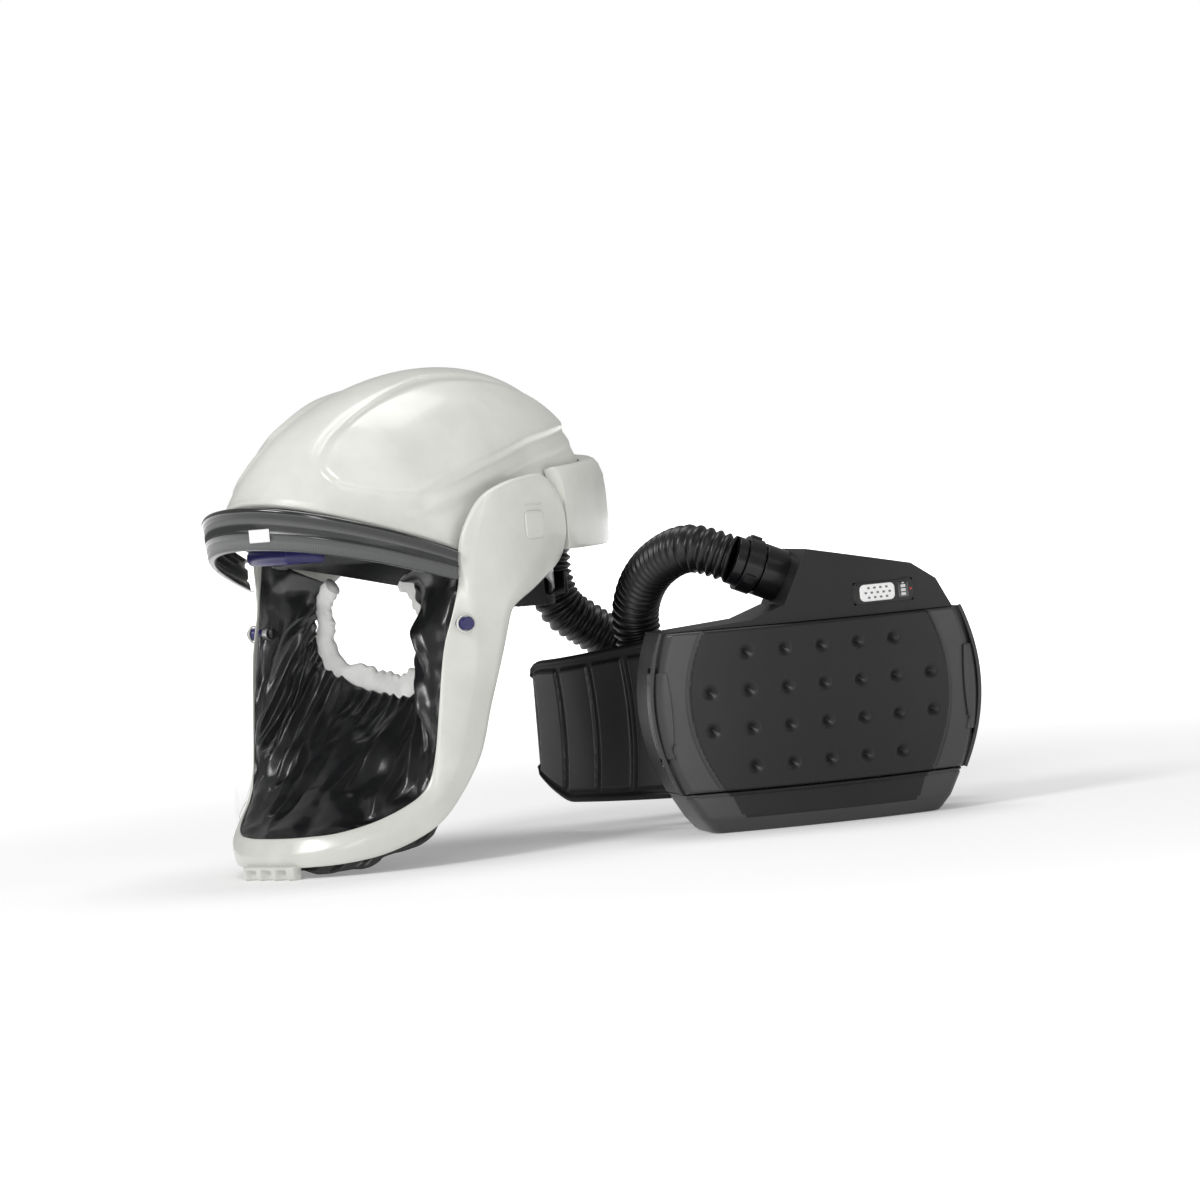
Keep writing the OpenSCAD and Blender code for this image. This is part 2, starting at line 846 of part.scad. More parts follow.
module particle_filter() {
    color("white") in_blower() difference() {
        translate([-88, -52, 34]) cube([176, 19.5, 96]);
        for (i = [-9 : 9])
            translate([i * 8.4 - 1.6, -36, 42]) cube([3.2, 6, 80]);
    }
}

module filter_seal() {
    color("black") in_blower() difference() {
        translate([-88, -32.5, 34]) cube([176, 1.6, 96]);
        translate([-81, -34, 41]) cube([162, 5, 82]);
    }
}

// Latches: one lever on each side turns on an upright pin and frees the cover
latch_pin_y = -31;
latch_x = 105;
latch_low = 53;
latch_high = 111;
latch_reach = 25;

module latch(side) {
    color([0.16, 0.16, 0.17]) in_blower() mirror([side > 0 ? 0 : 1, 0, 0])
    difference() {
        union() {
            translate([latch_x, latch_pin_y, latch_low]) cylinder(r = 2.6, h = latch_high - latch_low);
            intersection() {
                body_block(latch_low, latch_high, -blower_depth, 0.3);
                translate([latch_x, latch_pin_y - latch_reach, 0]) cube([20, latch_reach, 200]);
            }
        }
        translate([latch_x, latch_pin_y, latch_low - 3]) cylinder(r = 1.25, h = 70);
    }
}
module cover_latch_left() { latch(-1); }
module cover_latch_right() { latch(1); }

module latch_pins() {
    color("silver") in_blower()
    for (side = [-1, 1])
        translate([side * latch_x, latch_pin_y, latch_low - 6]) cylinder(r = 1.2, h = 70);
}

// -------------------------------------------------------------------- battery
foot_bevel = 9;

module battery_case() {
    high = battery_top - cover_gap;
    color([0.15, 0.15, 0.16]) in_blower() difference() {
        union() {
            body_block(foot_bevel, high, -67, 0);
            body_block(0, foot_bevel, -62, 1.5);
        }
        translate([-68, -58, 5]) cube([136, 55, 19]);
        translate([-40, -45, 23]) cube([14, 20, 9]);
        translate([90, -35, 16]) cube([20, 18, 20]);
    }
}

module battery_cells() {
    color("steelblue") in_blower()
    for (row = [0 : 2]) for (half = [0, 1])
        translate([half * 67 - 66, -48.6 + row * 18.2, 14.2]) rotate([0, 90, 0]) cylinder(r = 9, h = 65);
}

module battery_contacts() {
    color("goldenrod") in_blower()
    for (i = [0 : 2])
        translate([-38.5 + 4.4 * i, -42, 25.2]) cube([2, 12, 2]);
}

module battery_latch() {
    color([0.16, 0.16, 0.17]) in_blower() difference() {
        translate([92.4, -34, 17.4]) cube([3.2, 16, 9.6]);
        translate([95, -31, 19]) cube([2, 10, 6]);
    }
}

// ------------------------------------------------------------------- belt pad
pad_low = 20;
pad_offset = 6;
pad_left = 71;
pad_right = 43;
pad_hole_r = 1.5;
pad_hole_turn = 53;
pad_hole_high = 54;

module pad_arc(outer, wall, low, high, left = pad_left, right = pad_right) {
    translate([0, pad_radius + pad_offset, low]) rotate([0, 0, -90 - left])
    rotate_extrude(angle = left + right) translate([outer - wall, 0]) square([wall, high - low]);
}

// The pad's outline seen from the left: its top edge falls toward its end
module pad_trim() {
    translate([-190, -10, pad_low + pad_height - 16]) rotate([0, -6, 0]) cube([200, 220, 60]);
    translate([-163, 100, pad_low - 2]) rotate([0, 45, 0]) cube([24, 200, 24], center = true);
}

module pad_hole() {
    translate([0, pad_radius + pad_offset, pad_hole_high]) rotate([0, 0, -90 - pad_hole_turn])
    rotate([0, 90, 0]) cylinder(r = pad_hole_r, h = 200);
}

module pad_shell() {
    color([0.1, 0.1, 0.1]) in_blower() difference() {
        pad_arc(pad_radius - 2, 4, pad_low, pad_low + pad_height);
        pad_trim();
        pad_hole();
    }
}

module pad_cushion() {
    color([0.08, 0.08, 0.08]) in_blower() difference() {
        pad_arc(pad_radius - 6.1, 6, pad_low + 4, pad_low + pad_height - 4, pad_left - 2, pad_right - 2);
        pad_trim();
        pad_hole();
    }
}

// Raised ribs across the pad's outer face
module pad_ribs() {
    rib_turn = 8.6;
    color([0.12, 0.12, 0.12]) in_blower() difference() {
        for (turn = [-24 : -10 : -64])
            translate([0, pad_radius + pad_offset, pad_low + 6]) rotate([0, 0, -90 + turn - rib_turn / 2])
            rotate_extrude(angle = rib_turn) translate([pad_radius - 1.95, 0]) square([1.95, pad_height - 22]);
        pad_hole();
    }
}

module pad_rim() {
    color([0.1, 0.1, 0.1]) in_blower() difference() {
        pad_arc(pad_radius, 2, pad_low, pad_low + 4);
        pad_trim();
    }
}

module belt_carrier() {
    color("dimgray") in_blower() difference() {
        translate([-40, 0, 40]) cube([80, 12, 70]);
        translate([0, pad_radius + pad_offset, 30]) cylinder(r = pad_radius - 1.95, h = 100);
        translate([-50, 2.5, 50]) cube([20, 3, 50]);
    }
}

helmet_shell();
rear_cover();
pivot_mounts();
air_duct();
hose_inlet();
harness_clips();
headband();
sweatband();
crown_straps();
nape_housing();
ratchet_knob();
band_tail_left();
band_tail_right();
visor_frame();
visor();
brow_band();
brow_label();
pivot_badges();
face_seal();
face_seal_edge();
button_left();
button_right();
button_springs();
breathing_hose();
hose_connector();
connector_seal();
locking_collar();
rear_housing();
front_housing();
housing_screws();
outlet_socket();
fan_scroll();
fan_motor();
motor_bearings();
impeller();
motor_shaft();
circuit_board();
control_panel();
power_button();
battery_gauge();
warning_light();
filter_cover();
spark_arrestor();
prefilter();
particle_filter();
filter_seal();
cover_latch_left();
cover_latch_right();
latch_pins();
battery_case();
battery_cells();
battery_contacts();
battery_latch();
belt_carrier();
pad_shell();
pad_cushion();
pad_ribs();
pad_rim();
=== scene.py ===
import math
import random
import bmesh
import bpy
from mathutils import Matrix, Vector, noise


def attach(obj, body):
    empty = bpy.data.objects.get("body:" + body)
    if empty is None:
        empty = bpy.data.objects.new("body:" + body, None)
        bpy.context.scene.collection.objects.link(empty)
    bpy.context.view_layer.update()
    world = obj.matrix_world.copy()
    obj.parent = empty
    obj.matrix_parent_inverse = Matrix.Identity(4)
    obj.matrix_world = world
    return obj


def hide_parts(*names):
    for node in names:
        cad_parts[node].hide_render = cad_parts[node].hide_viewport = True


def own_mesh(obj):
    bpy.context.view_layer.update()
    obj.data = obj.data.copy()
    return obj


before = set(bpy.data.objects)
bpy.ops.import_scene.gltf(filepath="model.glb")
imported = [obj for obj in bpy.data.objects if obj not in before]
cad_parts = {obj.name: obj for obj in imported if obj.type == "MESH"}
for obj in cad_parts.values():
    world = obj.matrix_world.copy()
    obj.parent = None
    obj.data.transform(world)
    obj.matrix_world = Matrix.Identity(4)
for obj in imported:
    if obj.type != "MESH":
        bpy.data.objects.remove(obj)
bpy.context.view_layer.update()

# The looks of a powered air respirator: a helmet with a visor and a face seal, a
# corrugated hose, and a belt-worn blower. Lengths here are millimetres unless a
# name says otherwise, and helmet() and blower() turn them into scene points.

MM = 0.001
TAU = 2 * math.pi

HELMET_PLACE = (-112.6, 6.7)
HELMET_TURN = math.radians(228)
BLOWER_PLACE = (135.4, 6.7)
BLOWER_TURN = math.radians(13)


def smooth_curve(p, q, r, s, t):
    """A Catmull-Rom curve's value from q to r, with p before them and s after."""
    square = 2 * p - 5 * q + 4 * r - s
    cube = 3 * q - p - 3 * r + s
    return 0.5 * (2 * q + (r - p) * t + square * t * t + cube * t ** 3)


def placed(x, y, z, place, turn):
    """A point of a unit's own frame, in the scene, in metres."""
    c, s = math.cos(turn), math.sin(turn)
    return Vector((place[0] + x * c - y * s, place[1] + x * s + y * c, z)) * MM


def helmet(forward, left, up):
    return placed(forward, left, up, HELMET_PLACE, HELMET_TURN)


def blower(x, y, z):
    return placed(x, y, z, BLOWER_PLACE, BLOWER_TURN)


def smooth_step(value, start, end):
    share = min(1.0, max(0.0, (value - start) / (end - start)))
    return share * share * (3 - 2 * share)


def along(table, value):
    """The value of a polyline [(x, y), ...] at x, held level past its ends."""
    if value <= table[0][0]:
        return table[0][1]
    for (x0, y0), (x1, y1) in zip(table, table[1:]):
        if value <= x1:
            return y0 + (y1 - y0) * (value - x0) / (x1 - x0)
    return table[-1][1]


# ------------------------------------------------------------------ camera, light
def make_camera():
    data = bpy.data.cameras.new("camera")
    camera = bpy.data.objects.new("camera", data)
    bpy.context.scene.collection.objects.link(camera)
    distance = 3.2
    data.lens = 141.0
    rise = math.radians(2)
    roll = Matrix.Rotation(math.radians(-5), 4, "Z")
    aim = Vector((0.0064, 0, 0.1608))
    away = Vector((0, -math.cos(rise), math.sin(rise)))
    facing = (-away).to_track_quat("-Z", "Y").to_matrix().to_4x4()
    camera.matrix_world = Matrix.Translation(aim + away * distance) @ facing @ roll
    data.clip_end = 50
    bpy.context.scene.camera = camera


def area_light(name, place, aim, size, power):
    data = bpy.data.lights.new(name, "AREA")
    data.shape = "RECTANGLE"
    data.size, data.size_y = size
    data.energy = power
    lamp = bpy.data.objects.new(name, data)
    bpy.context.scene.collection.objects.link(lamp)
    lamp.location = place
    lamp.rotation_euler = (Vector(aim) - Vector(place)).to_track_quat("-Z", "Y").to_euler()


def make_studio():
    """A white surround that lights the scene softly, and four soft lights."""
    world = bpy.data.worlds.new("studio")
    bpy.context.scene.world = world
    bpy.context.scene.view_settings.view_transform = "Standard"
    world.use_nodes = True
    tree = world.node_tree
    ground = tree.nodes["Background"]
    ground.inputs["Color"].default_value = (1, 1, 1, 1)
    seen = tree.nodes.new("ShaderNodeLightPath")
    strength = tree.nodes.new("ShaderNodeMapRange")
    strength.inputs["To Min"].default_value = 0.31
    strength.inputs["To Max"].default_value = 1.0
    tree.links.new(seen.outputs["Is Camera Ray"], strength.inputs["Value"])
    tree.links.new(strength.outputs["Result"], ground.inputs["Strength"])
    middle = (0, 0, 0.15)
    area_light("key", (-1.5, -1.5, 1.7), middle, (0.8, 0.8), 30)
    area_light("top", (0.1, 0.5, 2.2), middle, (1.4, 0.9), 17)
    area_light("side", (1.9, -1.0, 0.8), middle, (0.35, 1.4), 4.5)
    area_light("front", (-0.35, -2.7, 0.7), middle, (0.45, 1.5), 11)


# ---------------------------------------------------------------------- materials
def new_material(name, color, roughness, **sockets):
    """A Principled material. Other sockets are given by name, with _ for a space."""
    material = bpy.data.materials.new(name)
    material.use_nodes = True
    shader = material.node_tree.nodes["Principled BSDF"]
    shader.inputs["Base Color"].default_value = (*color, 1)
    shader.inputs["Roughness"].default_value = roughness
    for key, value in sockets.items():
        shader.inputs[key.replace("_", " ")].default_value = value
    return material


def add_node(material, kind, **settings):
    made = material.node_tree.nodes.new(kind)
    for key, value in settings.items():
        setattr(made, key, value)
    return made


def link(material, start, end):
    material.node_tree.links.new(start, end)


def place_texture(material, scale, kind="ShaderNodeTexNoise", **values):
    """A texture in the object's own coordinates, in metres, scaled by scale."""
    coords = add_node(material, "ShaderNodeTexCoord")
    texture = add_node(material, kind)
    link(material, coords.outputs["Object"], texture.inputs["Vector"])
    texture.inputs["Scale"].default_value = scale
    for key, value in values.items():
        texture.inputs[key].default_value = value
    return texture.outputs["Fac"] if "Fac" in texture.outputs else texture.outputs["Distance"]


def vary(material, mask, socket, low, high):
    """Drives a number socket of the shader between low and high by a mask."""
    spread = add_node(material, "ShaderNodeMapRange")
    link(material, mask, spread.inputs["Value"])
    spread.inputs["To Min"].default_value = low
    spread.inputs["To Max"].default_value = high
    shader = material.node_tree.nodes["Principled BSDF"]
    link(material, spread.outputs["Result"], shader.inputs[socket])


def tint(material, mask, dark, light, low=0.35, high=0.65):
    """Colours the shader between two colours by a mask."""
    ramp = add_node(material, "ShaderNodeValToRGB")
    ramp.color_ramp.elements[0].position = low
    ramp.color_ramp.elements[1].position = high
    ramp.color_ramp.elements[0].color = (*dark, 1)
    ramp.color_ramp.elements[1].color = (*light, 1)
    link(material, mask, ramp.inputs["Fac"])
    shader = material.node_tree.nodes["Principled BSDF"]
    link(material, ramp.outputs["Color"], shader.inputs["Base Color"])


def bump(material, mask, depth, strength=1.0):
    """Raises the surface by up to depth metres where the mask is 1."""
    node = add_node(material, "ShaderNodeBump")
    node.inputs["Distance"].default_value = depth
    node.inputs["Strength"].default_value = strength
    link(material, mask, node.inputs["Height"])
    shader = material.node_tree.nodes["Principled BSDF"]
    link(material, node.outputs["Normal"], shader.inputs["Normal"])


def scaled(color, factor):
    return tuple(min(1.0, part * factor) for part in color)


def moulded(name, color, roughness, grain=900, grain_depth=0.00006, coat=0.0, shine=0.5):
    """Moulded plastic: a fine grain, soft cloudy wear and a slightly uneven gloss."""
    material = new_material(name, color, roughness, Coat_Weight=coat, Coat_Roughness=0.12,
                            Specular_IOR_Level=shine)
    clouds = place_texture(material, 22, Detail=5.0, Roughness=0.6)
    tint(material, clouds, scaled(color, 0.94), scaled(color, 1.05))
    scuffs = place_texture(material, 75, Detail=6.0, Roughness=0.7)
    vary(material, scuffs, "Roughness", roughness * 0.85, min(1.0, roughness * 1.2))
    bump(material, place_texture(material, grain, Detail=2.0), grain_depth, 0.5)
    return material


def woven(name, color, roughness, thread, depth, sheen=0.0, coat=0.0):
    """Cloth or webbing: a fine cellular weave with uneven colour."""
    material = new_material(name, color, roughness, Sheen_Weight=sheen, Coat_Weight=coat,
                            Coat_Roughness=0.2)
    clouds = place_texture(material, 40, Detail=5.0)
    tint(material, clouds, scaled(color, 0.85), scaled(color, 1.15))
    weave = place_texture(material, 1 / thread, "ShaderNodeTexVoronoi")
    bump(material, weave, depth, 0.7)
    return material


def brushed(name, color, roughness):
    material = new_material(name, color, roughness, Metallic=1.0)
    streaks = place_texture(material, 400, Detail=3.0, Distortion=0.6)
    vary(material, streaks, "Roughness", roughness * 0.7, roughness * 1.4)
    bump(material, streaks, 0.00002, 0.4)
    return material


def clear_sheet(name, color, tint_share):
    """A clear moulded sheet: light passes straight through, glancing angles shine."""
    material = new_material(name, color, 0.05, IOR=1.5, Specular_IOR_Level=1.0)
    shader = material.node_tree.nodes["Principled BSDF"]
    glancing = add_node(material, "ShaderNodeLayerWeight")
    glancing.inputs["Blend"].default_value = 0.2
    spread = add_node(material, "ShaderNodeMapRange")
    link(material, glancing.outputs["Facing"], spread.inputs["Value"])
    spread.inputs["To Min"].default_value = tint_share
    spread.inputs["From Min"].default_value = 0.55
    spread.inputs["To Max"].default_value = 0.7
    link(material, spread.outputs["Result"], shader.inputs["Alpha"])
    haze = place_texture(material, 30, Detail=4.0)
    vary(material, haze, "Roughness", 0.03, 0.09)
    return material


def make_materials():
    made = {
        "white_shell": moulded("white_shell", (0.66, 0.665, 0.62), 0.3, 700, 0.00003, 0.35),
        "dark_plastic": moulded("dark_plastic", (0.011, 0.011, 0.012), 0.4, 1500, 0.00008, 0.0, 0.35),
        # Lighter grey for the filter cover's side bands and latch levers: painted highlight on their
        # rounded faces.
        "band_highlight_plastic": moulded("band_highlight_plastic", (0.035, 0.035, 0.037), 0.34, 1500, 0.00006, 0.0, 0.5),
        "black_plastic": moulded("black_plastic", (0.005, 0.005, 0.006), 0.3, 1200, 0.00004, 0.1, 0.4),
        # Lighter grey for the battery's sides and bevelled foot: painted highlight.
        "battery_plastic": moulded("battery_plastic", (0.04, 0.04, 0.042), 0.36, 1500, 0.00008, 0.0, 0.5),
        "purple_plastic": moulded("purple_plastic", (0.012, 0.008, 0.10), 0.35, 900, 0.00005, 0.2),
        "white_plastic": moulded("white_plastic", (0.78, 0.78, 0.77), 0.35, 900, 0.00003, 0.2),
        "white_label": moulded("white_label", (0.8, 0.8, 0.79), 0.55, 500, 0.00002),
        "smoke_plastic": moulded("smoke_plastic", (0.018, 0.019, 0.019), 0.16, 400, 0.00002, 0.6),
        "clear_strip": moulded("clear_strip", (0.055, 0.057, 0.057), 0.16, 400, 0.00003, 0.8),
        "clear_polycarbonate": clear_sheet("clear_polycarbonate", (0.10, 0.11, 0.11), 0.012),
        "coated_fabric": woven("coated_fabric", (0.004, 0.004, 0.0045), 0.27, 0.0006, 0.000008, 0.0, 0.1),
        "white_elastic": woven("white_elastic", (0.86, 0.86, 0.84), 0.85, 0.0009, 0.0003, 0.4),
        "black_webbing": woven("black_webbing", (0.012, 0.012, 0.013), 0.75, 0.0011, 0.0003, 0.3),
        "black_foam": woven("black_foam", (0.015, 0.015, 0.016), 0.95, 0.0016, 0.0004, 0.2),
        "filter_fleece": woven("filter_fleece", (0.75, 0.75, 0.72), 0.95, 0.0012, 0.0003, 0.3),
        "black_rubber": moulded("black_rubber", (0.007, 0.007, 0.008), 0.45, 800, 0.0001, 0.0, 0.4),
        # Lighter rubber for the belt pad's ribs, with the darker black_rubber left in the grooves: painted
        # highlight on the ribs, painted shade in the grooves.
        "rib_highlight_rubber": moulded("rib_highlight_rubber", (0.018, 0.018, 0.019), 0.36, 800, 0.00006, 0.0, 0.5),
        "hose_rubber": moulded("hose_rubber", (0.005, 0.005, 0.006), 0.34, 900, 0.00005, 0.0, 0.45),
        "steel": brushed("steel", (0.6, 0.6, 0.6), 0.3),
        "brass": brushed("brass", (0.75, 0.55, 0.25), 0.28),
        "board_green": moulded("board_green", (0.01, 0.11, 0.04), 0.45, 300, 0.0001, 0.3),
        "gauge_window": moulded("gauge_window", (0.012, 0.012, 0.013), 0.12, 400, 0.00002, 0.6),
        "gauge_mark": moulded("gauge_mark", (0.6, 0.6, 0.6), 0.5, 600, 0.00002),
        "red_lens": moulded("red_lens", (0.45, 0.02, 0.015), 0.2, 500, 0.00003, 0.6),
        "cell_sleeve": moulded("cell_sleeve", (0.04, 0.12, 0.3), 0.35, 500, 0.00004, 0.3),
        "dot_grey": moulded("dot_grey", (0.16, 0.16, 0.17), 0.45, 900, 0.00003),
    }
    return made


# ------------------------------------------------------------------- mesh helpers
def solid(name, points, faces, materials, body, face_slots=None):
    """A smooth mesh object from points in metres, riding on a CAD body."""
    mesh = bpy.data.meshes.new(name)
    mesh.from_pydata([tuple(p) for p in points], [], faces)
    for material in materials:
        mesh.materials.append(MATERIALS[material])
    mesh.polygons.foreach_set("use_smooth", [True] * len(mesh.polygons))
    if face_slots:
        mesh.polygons.foreach_set("material_index", face_slots)
    mesh.update()
    obj = bpy.data.objects.new(name, mesh)
    bpy.context.scene.collection.objects.link(obj)
    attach(obj, body)
    return obj


def grid_faces(rows, cols, wrapped=False):
    last = cols if wrapped else cols - 1
    return [
        (r * cols + c, r * cols + (c + 1) % cols, (r + 1) * cols + (c + 1) % cols, (r + 1) * cols + c)
        for r in range(rows - 1) for c in range(last)
    ]


def face_out(obj):
    """Turns every face of a closed mesh outward."""
    work = bmesh.new()
    work.from_mesh(obj.data)
    bmesh.ops.recalc_face_normals(work, faces=work.faces)
    work.to_mesh(obj.data)
    work.free()


def sheet_of(name, rows, materials, body, wrapped=False, row_slots=None, flip=False):
    """A surface through rows of points. row_slots gives each strip its material."""
    count, cols = len(rows), len(rows[0])
    faces = grid_faces(count, cols, wrapped)
    if flip:
        faces = [tuple(reversed(f)) for f in faces]
    last = cols if wrapped else cols - 1
    slots = [row_slots[i // last] for i in range(len(faces))] if row_slots else None
    return solid(name, [p for row in rows for p in row], faces, materials, body, slots)


def loft(name, loops, materials, body, capped=True, loop_slots=None):
    """A closed solid through closed loops of points, with its ends capped."""
    cols = len(loops[0])
    faces = grid_faces(len(loops), cols, True)
    slots = [loop_slots[i % cols] for i in range(len(faces))] if loop_slots else [0] * len(faces)
    if capped:
        start = (len(loops) - 1) * cols
        faces += [tuple(reversed(range(cols))), tuple(range(start, start + cols))]
        slots += [0, 0]
    obj = solid(name, [p for loop in loops for p in loop], faces, materials, body, slots)
    face_out(obj)
    return obj


def wall(obj, thickness, outward=0.0):
    """Gives an open sheet its thickness in mm, inward from its front."""
    change = obj.modifiers.new("wall", "SOLIDIFY")
    change.thickness = thickness * MM
    change.offset = -1 + 2 * outward
    return obj


def subdivided(obj, levels=1):
    change = obj.modifiers.new("rounding", "SUBSURF")
    change.levels = levels
    change.render_levels = levels
    return obj


def rounded(points, radius):
    """A closed loop of points with each corner replaced by two, radius mm away."""
    made = []
    for i, corner in enumerate(points):
        before = points[i - 1] - corner
        after = points[(i + 1) % len(points)] - corner
        for side in (before, after):
            reach = min(radius * MM, side.length * 0.4)
            made.append(corner + side.normalized() * reach)
    return made


def refine(node, material, width=0.5, segments=2):
    """Keeps a CAD node, softens its edges and gives it a material."""
    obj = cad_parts[node]
    mesh = obj.data
    mesh.materials.clear()
    mesh.materials.append(MATERIALS[material])
    if "custom_normal" in mesh.attributes:
        mesh.attributes.remove(mesh.attributes["custom_normal"])
    mesh.polygons.foreach_set("use_smooth", [True] * len(mesh.polygons))
    weld = obj.modifiers.new("weld", "WELD")
    weld.merge_threshold = 0.00001
    flat = obj.modifiers.new("flat", "DECIMATE")
    flat.decimate_type = "DISSOLVE"
    flat.angle_limit = math.radians(1.5)
    edge = obj.modifiers.new("edge", "BEVEL")
    edge.width = width * MM
    edge.segments = segments
    edge.limit_method = "ANGLE"
    edge.angle_limit = math.radians(28)
    edge.use_clamp_overlap = True
    edge.harden_normals = False
    normals = obj.modifiers.new("normals", "WEIGHTED_NORMAL")
    normals.keep_sharp = False
    return obj


# ------------------------------------------------------------------- helmet shape
HALF_LENGTH = 163
HALF_WIDTH = 108
PLAN_CENTRE = 8
DOME_BASE = 200
DOME_RISE = 129
PIVOT_HIGH = 217


def plan_point(turn, inset):
    """Forward and left of a point of the helmet's plan, turn in radians."""
    return (
        PLAN_CENTRE + (HALF_LENGTH - inset) * math.cos(turn),
        (HALF_WIDTH - inset) * math.sin(turn),
    )


def plan_turn(forward):
    """The turn at which the plan's outline reaches a forward place."""
    return math.acos(max(-1.0, min(1.0, (forward - PLAN_CENTRE) / HALF_LENGTH)))


def dome_point(turn, z, inset=0.0):
    """Forward, left and up of a point of the dome."""
    t = (z - DOME_BASE) / (DOME_RISE - inset)
    r = math.sqrt(max(0.0, 1 - t * t))
    return (10 - 28 * t * t + (158 - inset) * r * math.cos(turn), (97 - inset) * r * math.sin(turn), z)


def rim_height(turn):
    forward = PLAN_CENTRE + HALF_LENGTH * math.cos(turn)
    return 205 if forward < 60 else 207 + 40 * (forward - 60) / 110


# The raised side panel's lower ridge, forward against height, and the top edge of
# the panel, forward against how far it lies from the middle
PANEL_RIDGE = [
    (-110, 287), (-70, 283), (-29, 278), (20, 266), (58, 255), (78, 249), (100, 251), (120, 258),
    (128, 268),
]
PANEL_EDGE = [(-110, 58), (-71, 52), (-30, 46), (14, 38), (105, 37), (130, 42)]
PANEL_RAISE = 3.6
BAND_WIDE = 9


def shell_relief(forward, left, up):
    """How far the shell stands proud of the plain dome, in mm."""
    side = abs(left)
    edge = along(PANEL_EDGE, forward)
    across = smooth_step(side, edge - BAND_WIDE, edge)
    above = smooth_step(up, along(PANEL_RIDGE, forward) - 8, along(PANEL_RIDGE, forward))
    front = 1 - smooth_step(forward, 119, 127)
    groove = math.exp(-((side - edge + BAND_WIDE + 1.5) / 2.6) ** 2) * (1 - smooth_step(forward, 108, 128))
    low_step = smooth_step(up, along(PANEL_RIDGE, forward) - 22, along(PANEL_RIDGE, forward) - 14)
    behind = 1 - smooth_step(forward, 84, 104)
    raised = PANEL_RAISE if left > 0 else PANEL_RAISE * (1 - 0.6 * smooth_step(forward, 30, 80))
    groove *= 1.0 if left > 0 else 1 - 0.7 * smooth_step(forward, 30, 80)
    panel = raised * across * above * front
    return panel - 1.1 * groove * smooth_step(up, 240, 262) + 2.2 * low_step * behind * across


def make_shell():
    cols, rows = 260, 90
    top = DOME_BASE + DOME_RISE * 0.9995
    grid = []
    for i in range(rows + 1):
        share = math.sin(math.pi / 2 * i / rows)
        row = []
        for j in range(cols):
            turn = TAU * j / cols
            low = rim_height(turn)
            up = low + (top - low) * share
            forward, left, up = dome_point(turn, up)
            relief = shell_relief(forward, left, up) * min(1.0, (top - up) / 3)
            forward, left, up = dome_point(turn, up, -relief)
            brim = 4.0 * max(0.0, math.cos(turn)) * (1 - smooth_step(i, 0, 3))
            row.append(helmet(forward + brim, left, up))
        grid.append(row)
    shell = sheet_of("shell", grid, ["white_shell"], "root", wrapped=True)
    work = bmesh.new()
    work.from_mesh(shell.data)
    bmesh.ops.remove_doubles(work, verts=work.verts, dist=0.0004)
    holes = [e for e in work.edges if e.is_boundary and e.verts[0].co.z > (top - 2) * MM]
    bmesh.ops.contextual_create(work, geom=holes)
    for face in work.faces:
        face.smooth = True
    bmesh.ops.recalc_face_normals(work, faces=work.faces)
    work.to_mesh(shell.data)
    work.free()
    # The shell's inner faces get black plastic: painted shade inside the shell.
    shell.data.materials.append(MATERIALS["black_plastic"])
    painted_shade_inside = wall(shell, 3)
    painted_shade_inside.modifiers["wall"].material_offset = 1
    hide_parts("helmet_shell")


# The rear cover stands on the shell from ear to ear round the back
COVER_START = math.radians(107)


def cover_top(turn):
    return 262 - 8 * abs(turn - math.pi) / (math.pi - COVER_START)


def make_rear_cover():
    cols = 120
    shape = [
        (0.0, 4.0), (0.0, 1.4), (0.05, 0.6), (0.3, 0.5), (0.6, 0.6), (0.8, 1.6), (0.92, 4.2),
        (0.98, 7.0), (1.0, 9.5),
    ]
    grid = []
    for share, inset in shape:
        row = []
        for j in range(cols + 1):
            turn = COVER_START + (TAU - 2 * COVER_START) * j / cols
            end = min(j, cols - j)
            tuck = 1.2 * max(0.0, 1 - end / 2)
            up = 198 + (cover_top(turn) - 198) * share
            forward, left = plan_point(turn, inset + tuck)
            row.append(helmet(forward, left, up))
        grid.append(row)
    back = []
    for share, _ in reversed(shape):
        row = []
        for j in range(cols + 1):
            turn = COVER_START + (TAU - 2 * COVER_START) * j / cols
            up = max(198 + (cover_top(turn) - 1.5 - 198) * share, 200)
            row.append(helmet(*dome_point(turn, up, -1.0)))
        back.append(row)
    cover = sheet_of("rear_cover_shape", grid + back, ["white_shell"], "root")
    work = bmesh.new()
    work.from_mesh(cover.data)
    work.verts.ensure_lookup_table()
    across = len(grid[0])
    loops = len(grid) + len(back)
    for column in (0, across - 1):
        work.faces.new([work.verts[r * across + column] for r in range(loops)])
    for c in range(across - 1):
        last = (loops - 1) * across
        work.faces.new([work.verts[i] for i in (c, c + 1, last + c + 1, last + c)])
    bmesh.ops.recalc_face_normals(work, faces=work.faces)
    for face in work.faces:
        face.smooth = True
    work.to_mesh(cover.data)
    work.free()
    edge = cover.modifiers.new("edge", "BEVEL")
    edge.width = 0.8 * MM
    edge.segments = 3
    edge.angle_limit = math.radians(40)
    normals = cover.modifiers.new("normals", "WEIGHTED_NORMAL")
    normals.keep_sharp = False
    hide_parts("rear_cover")


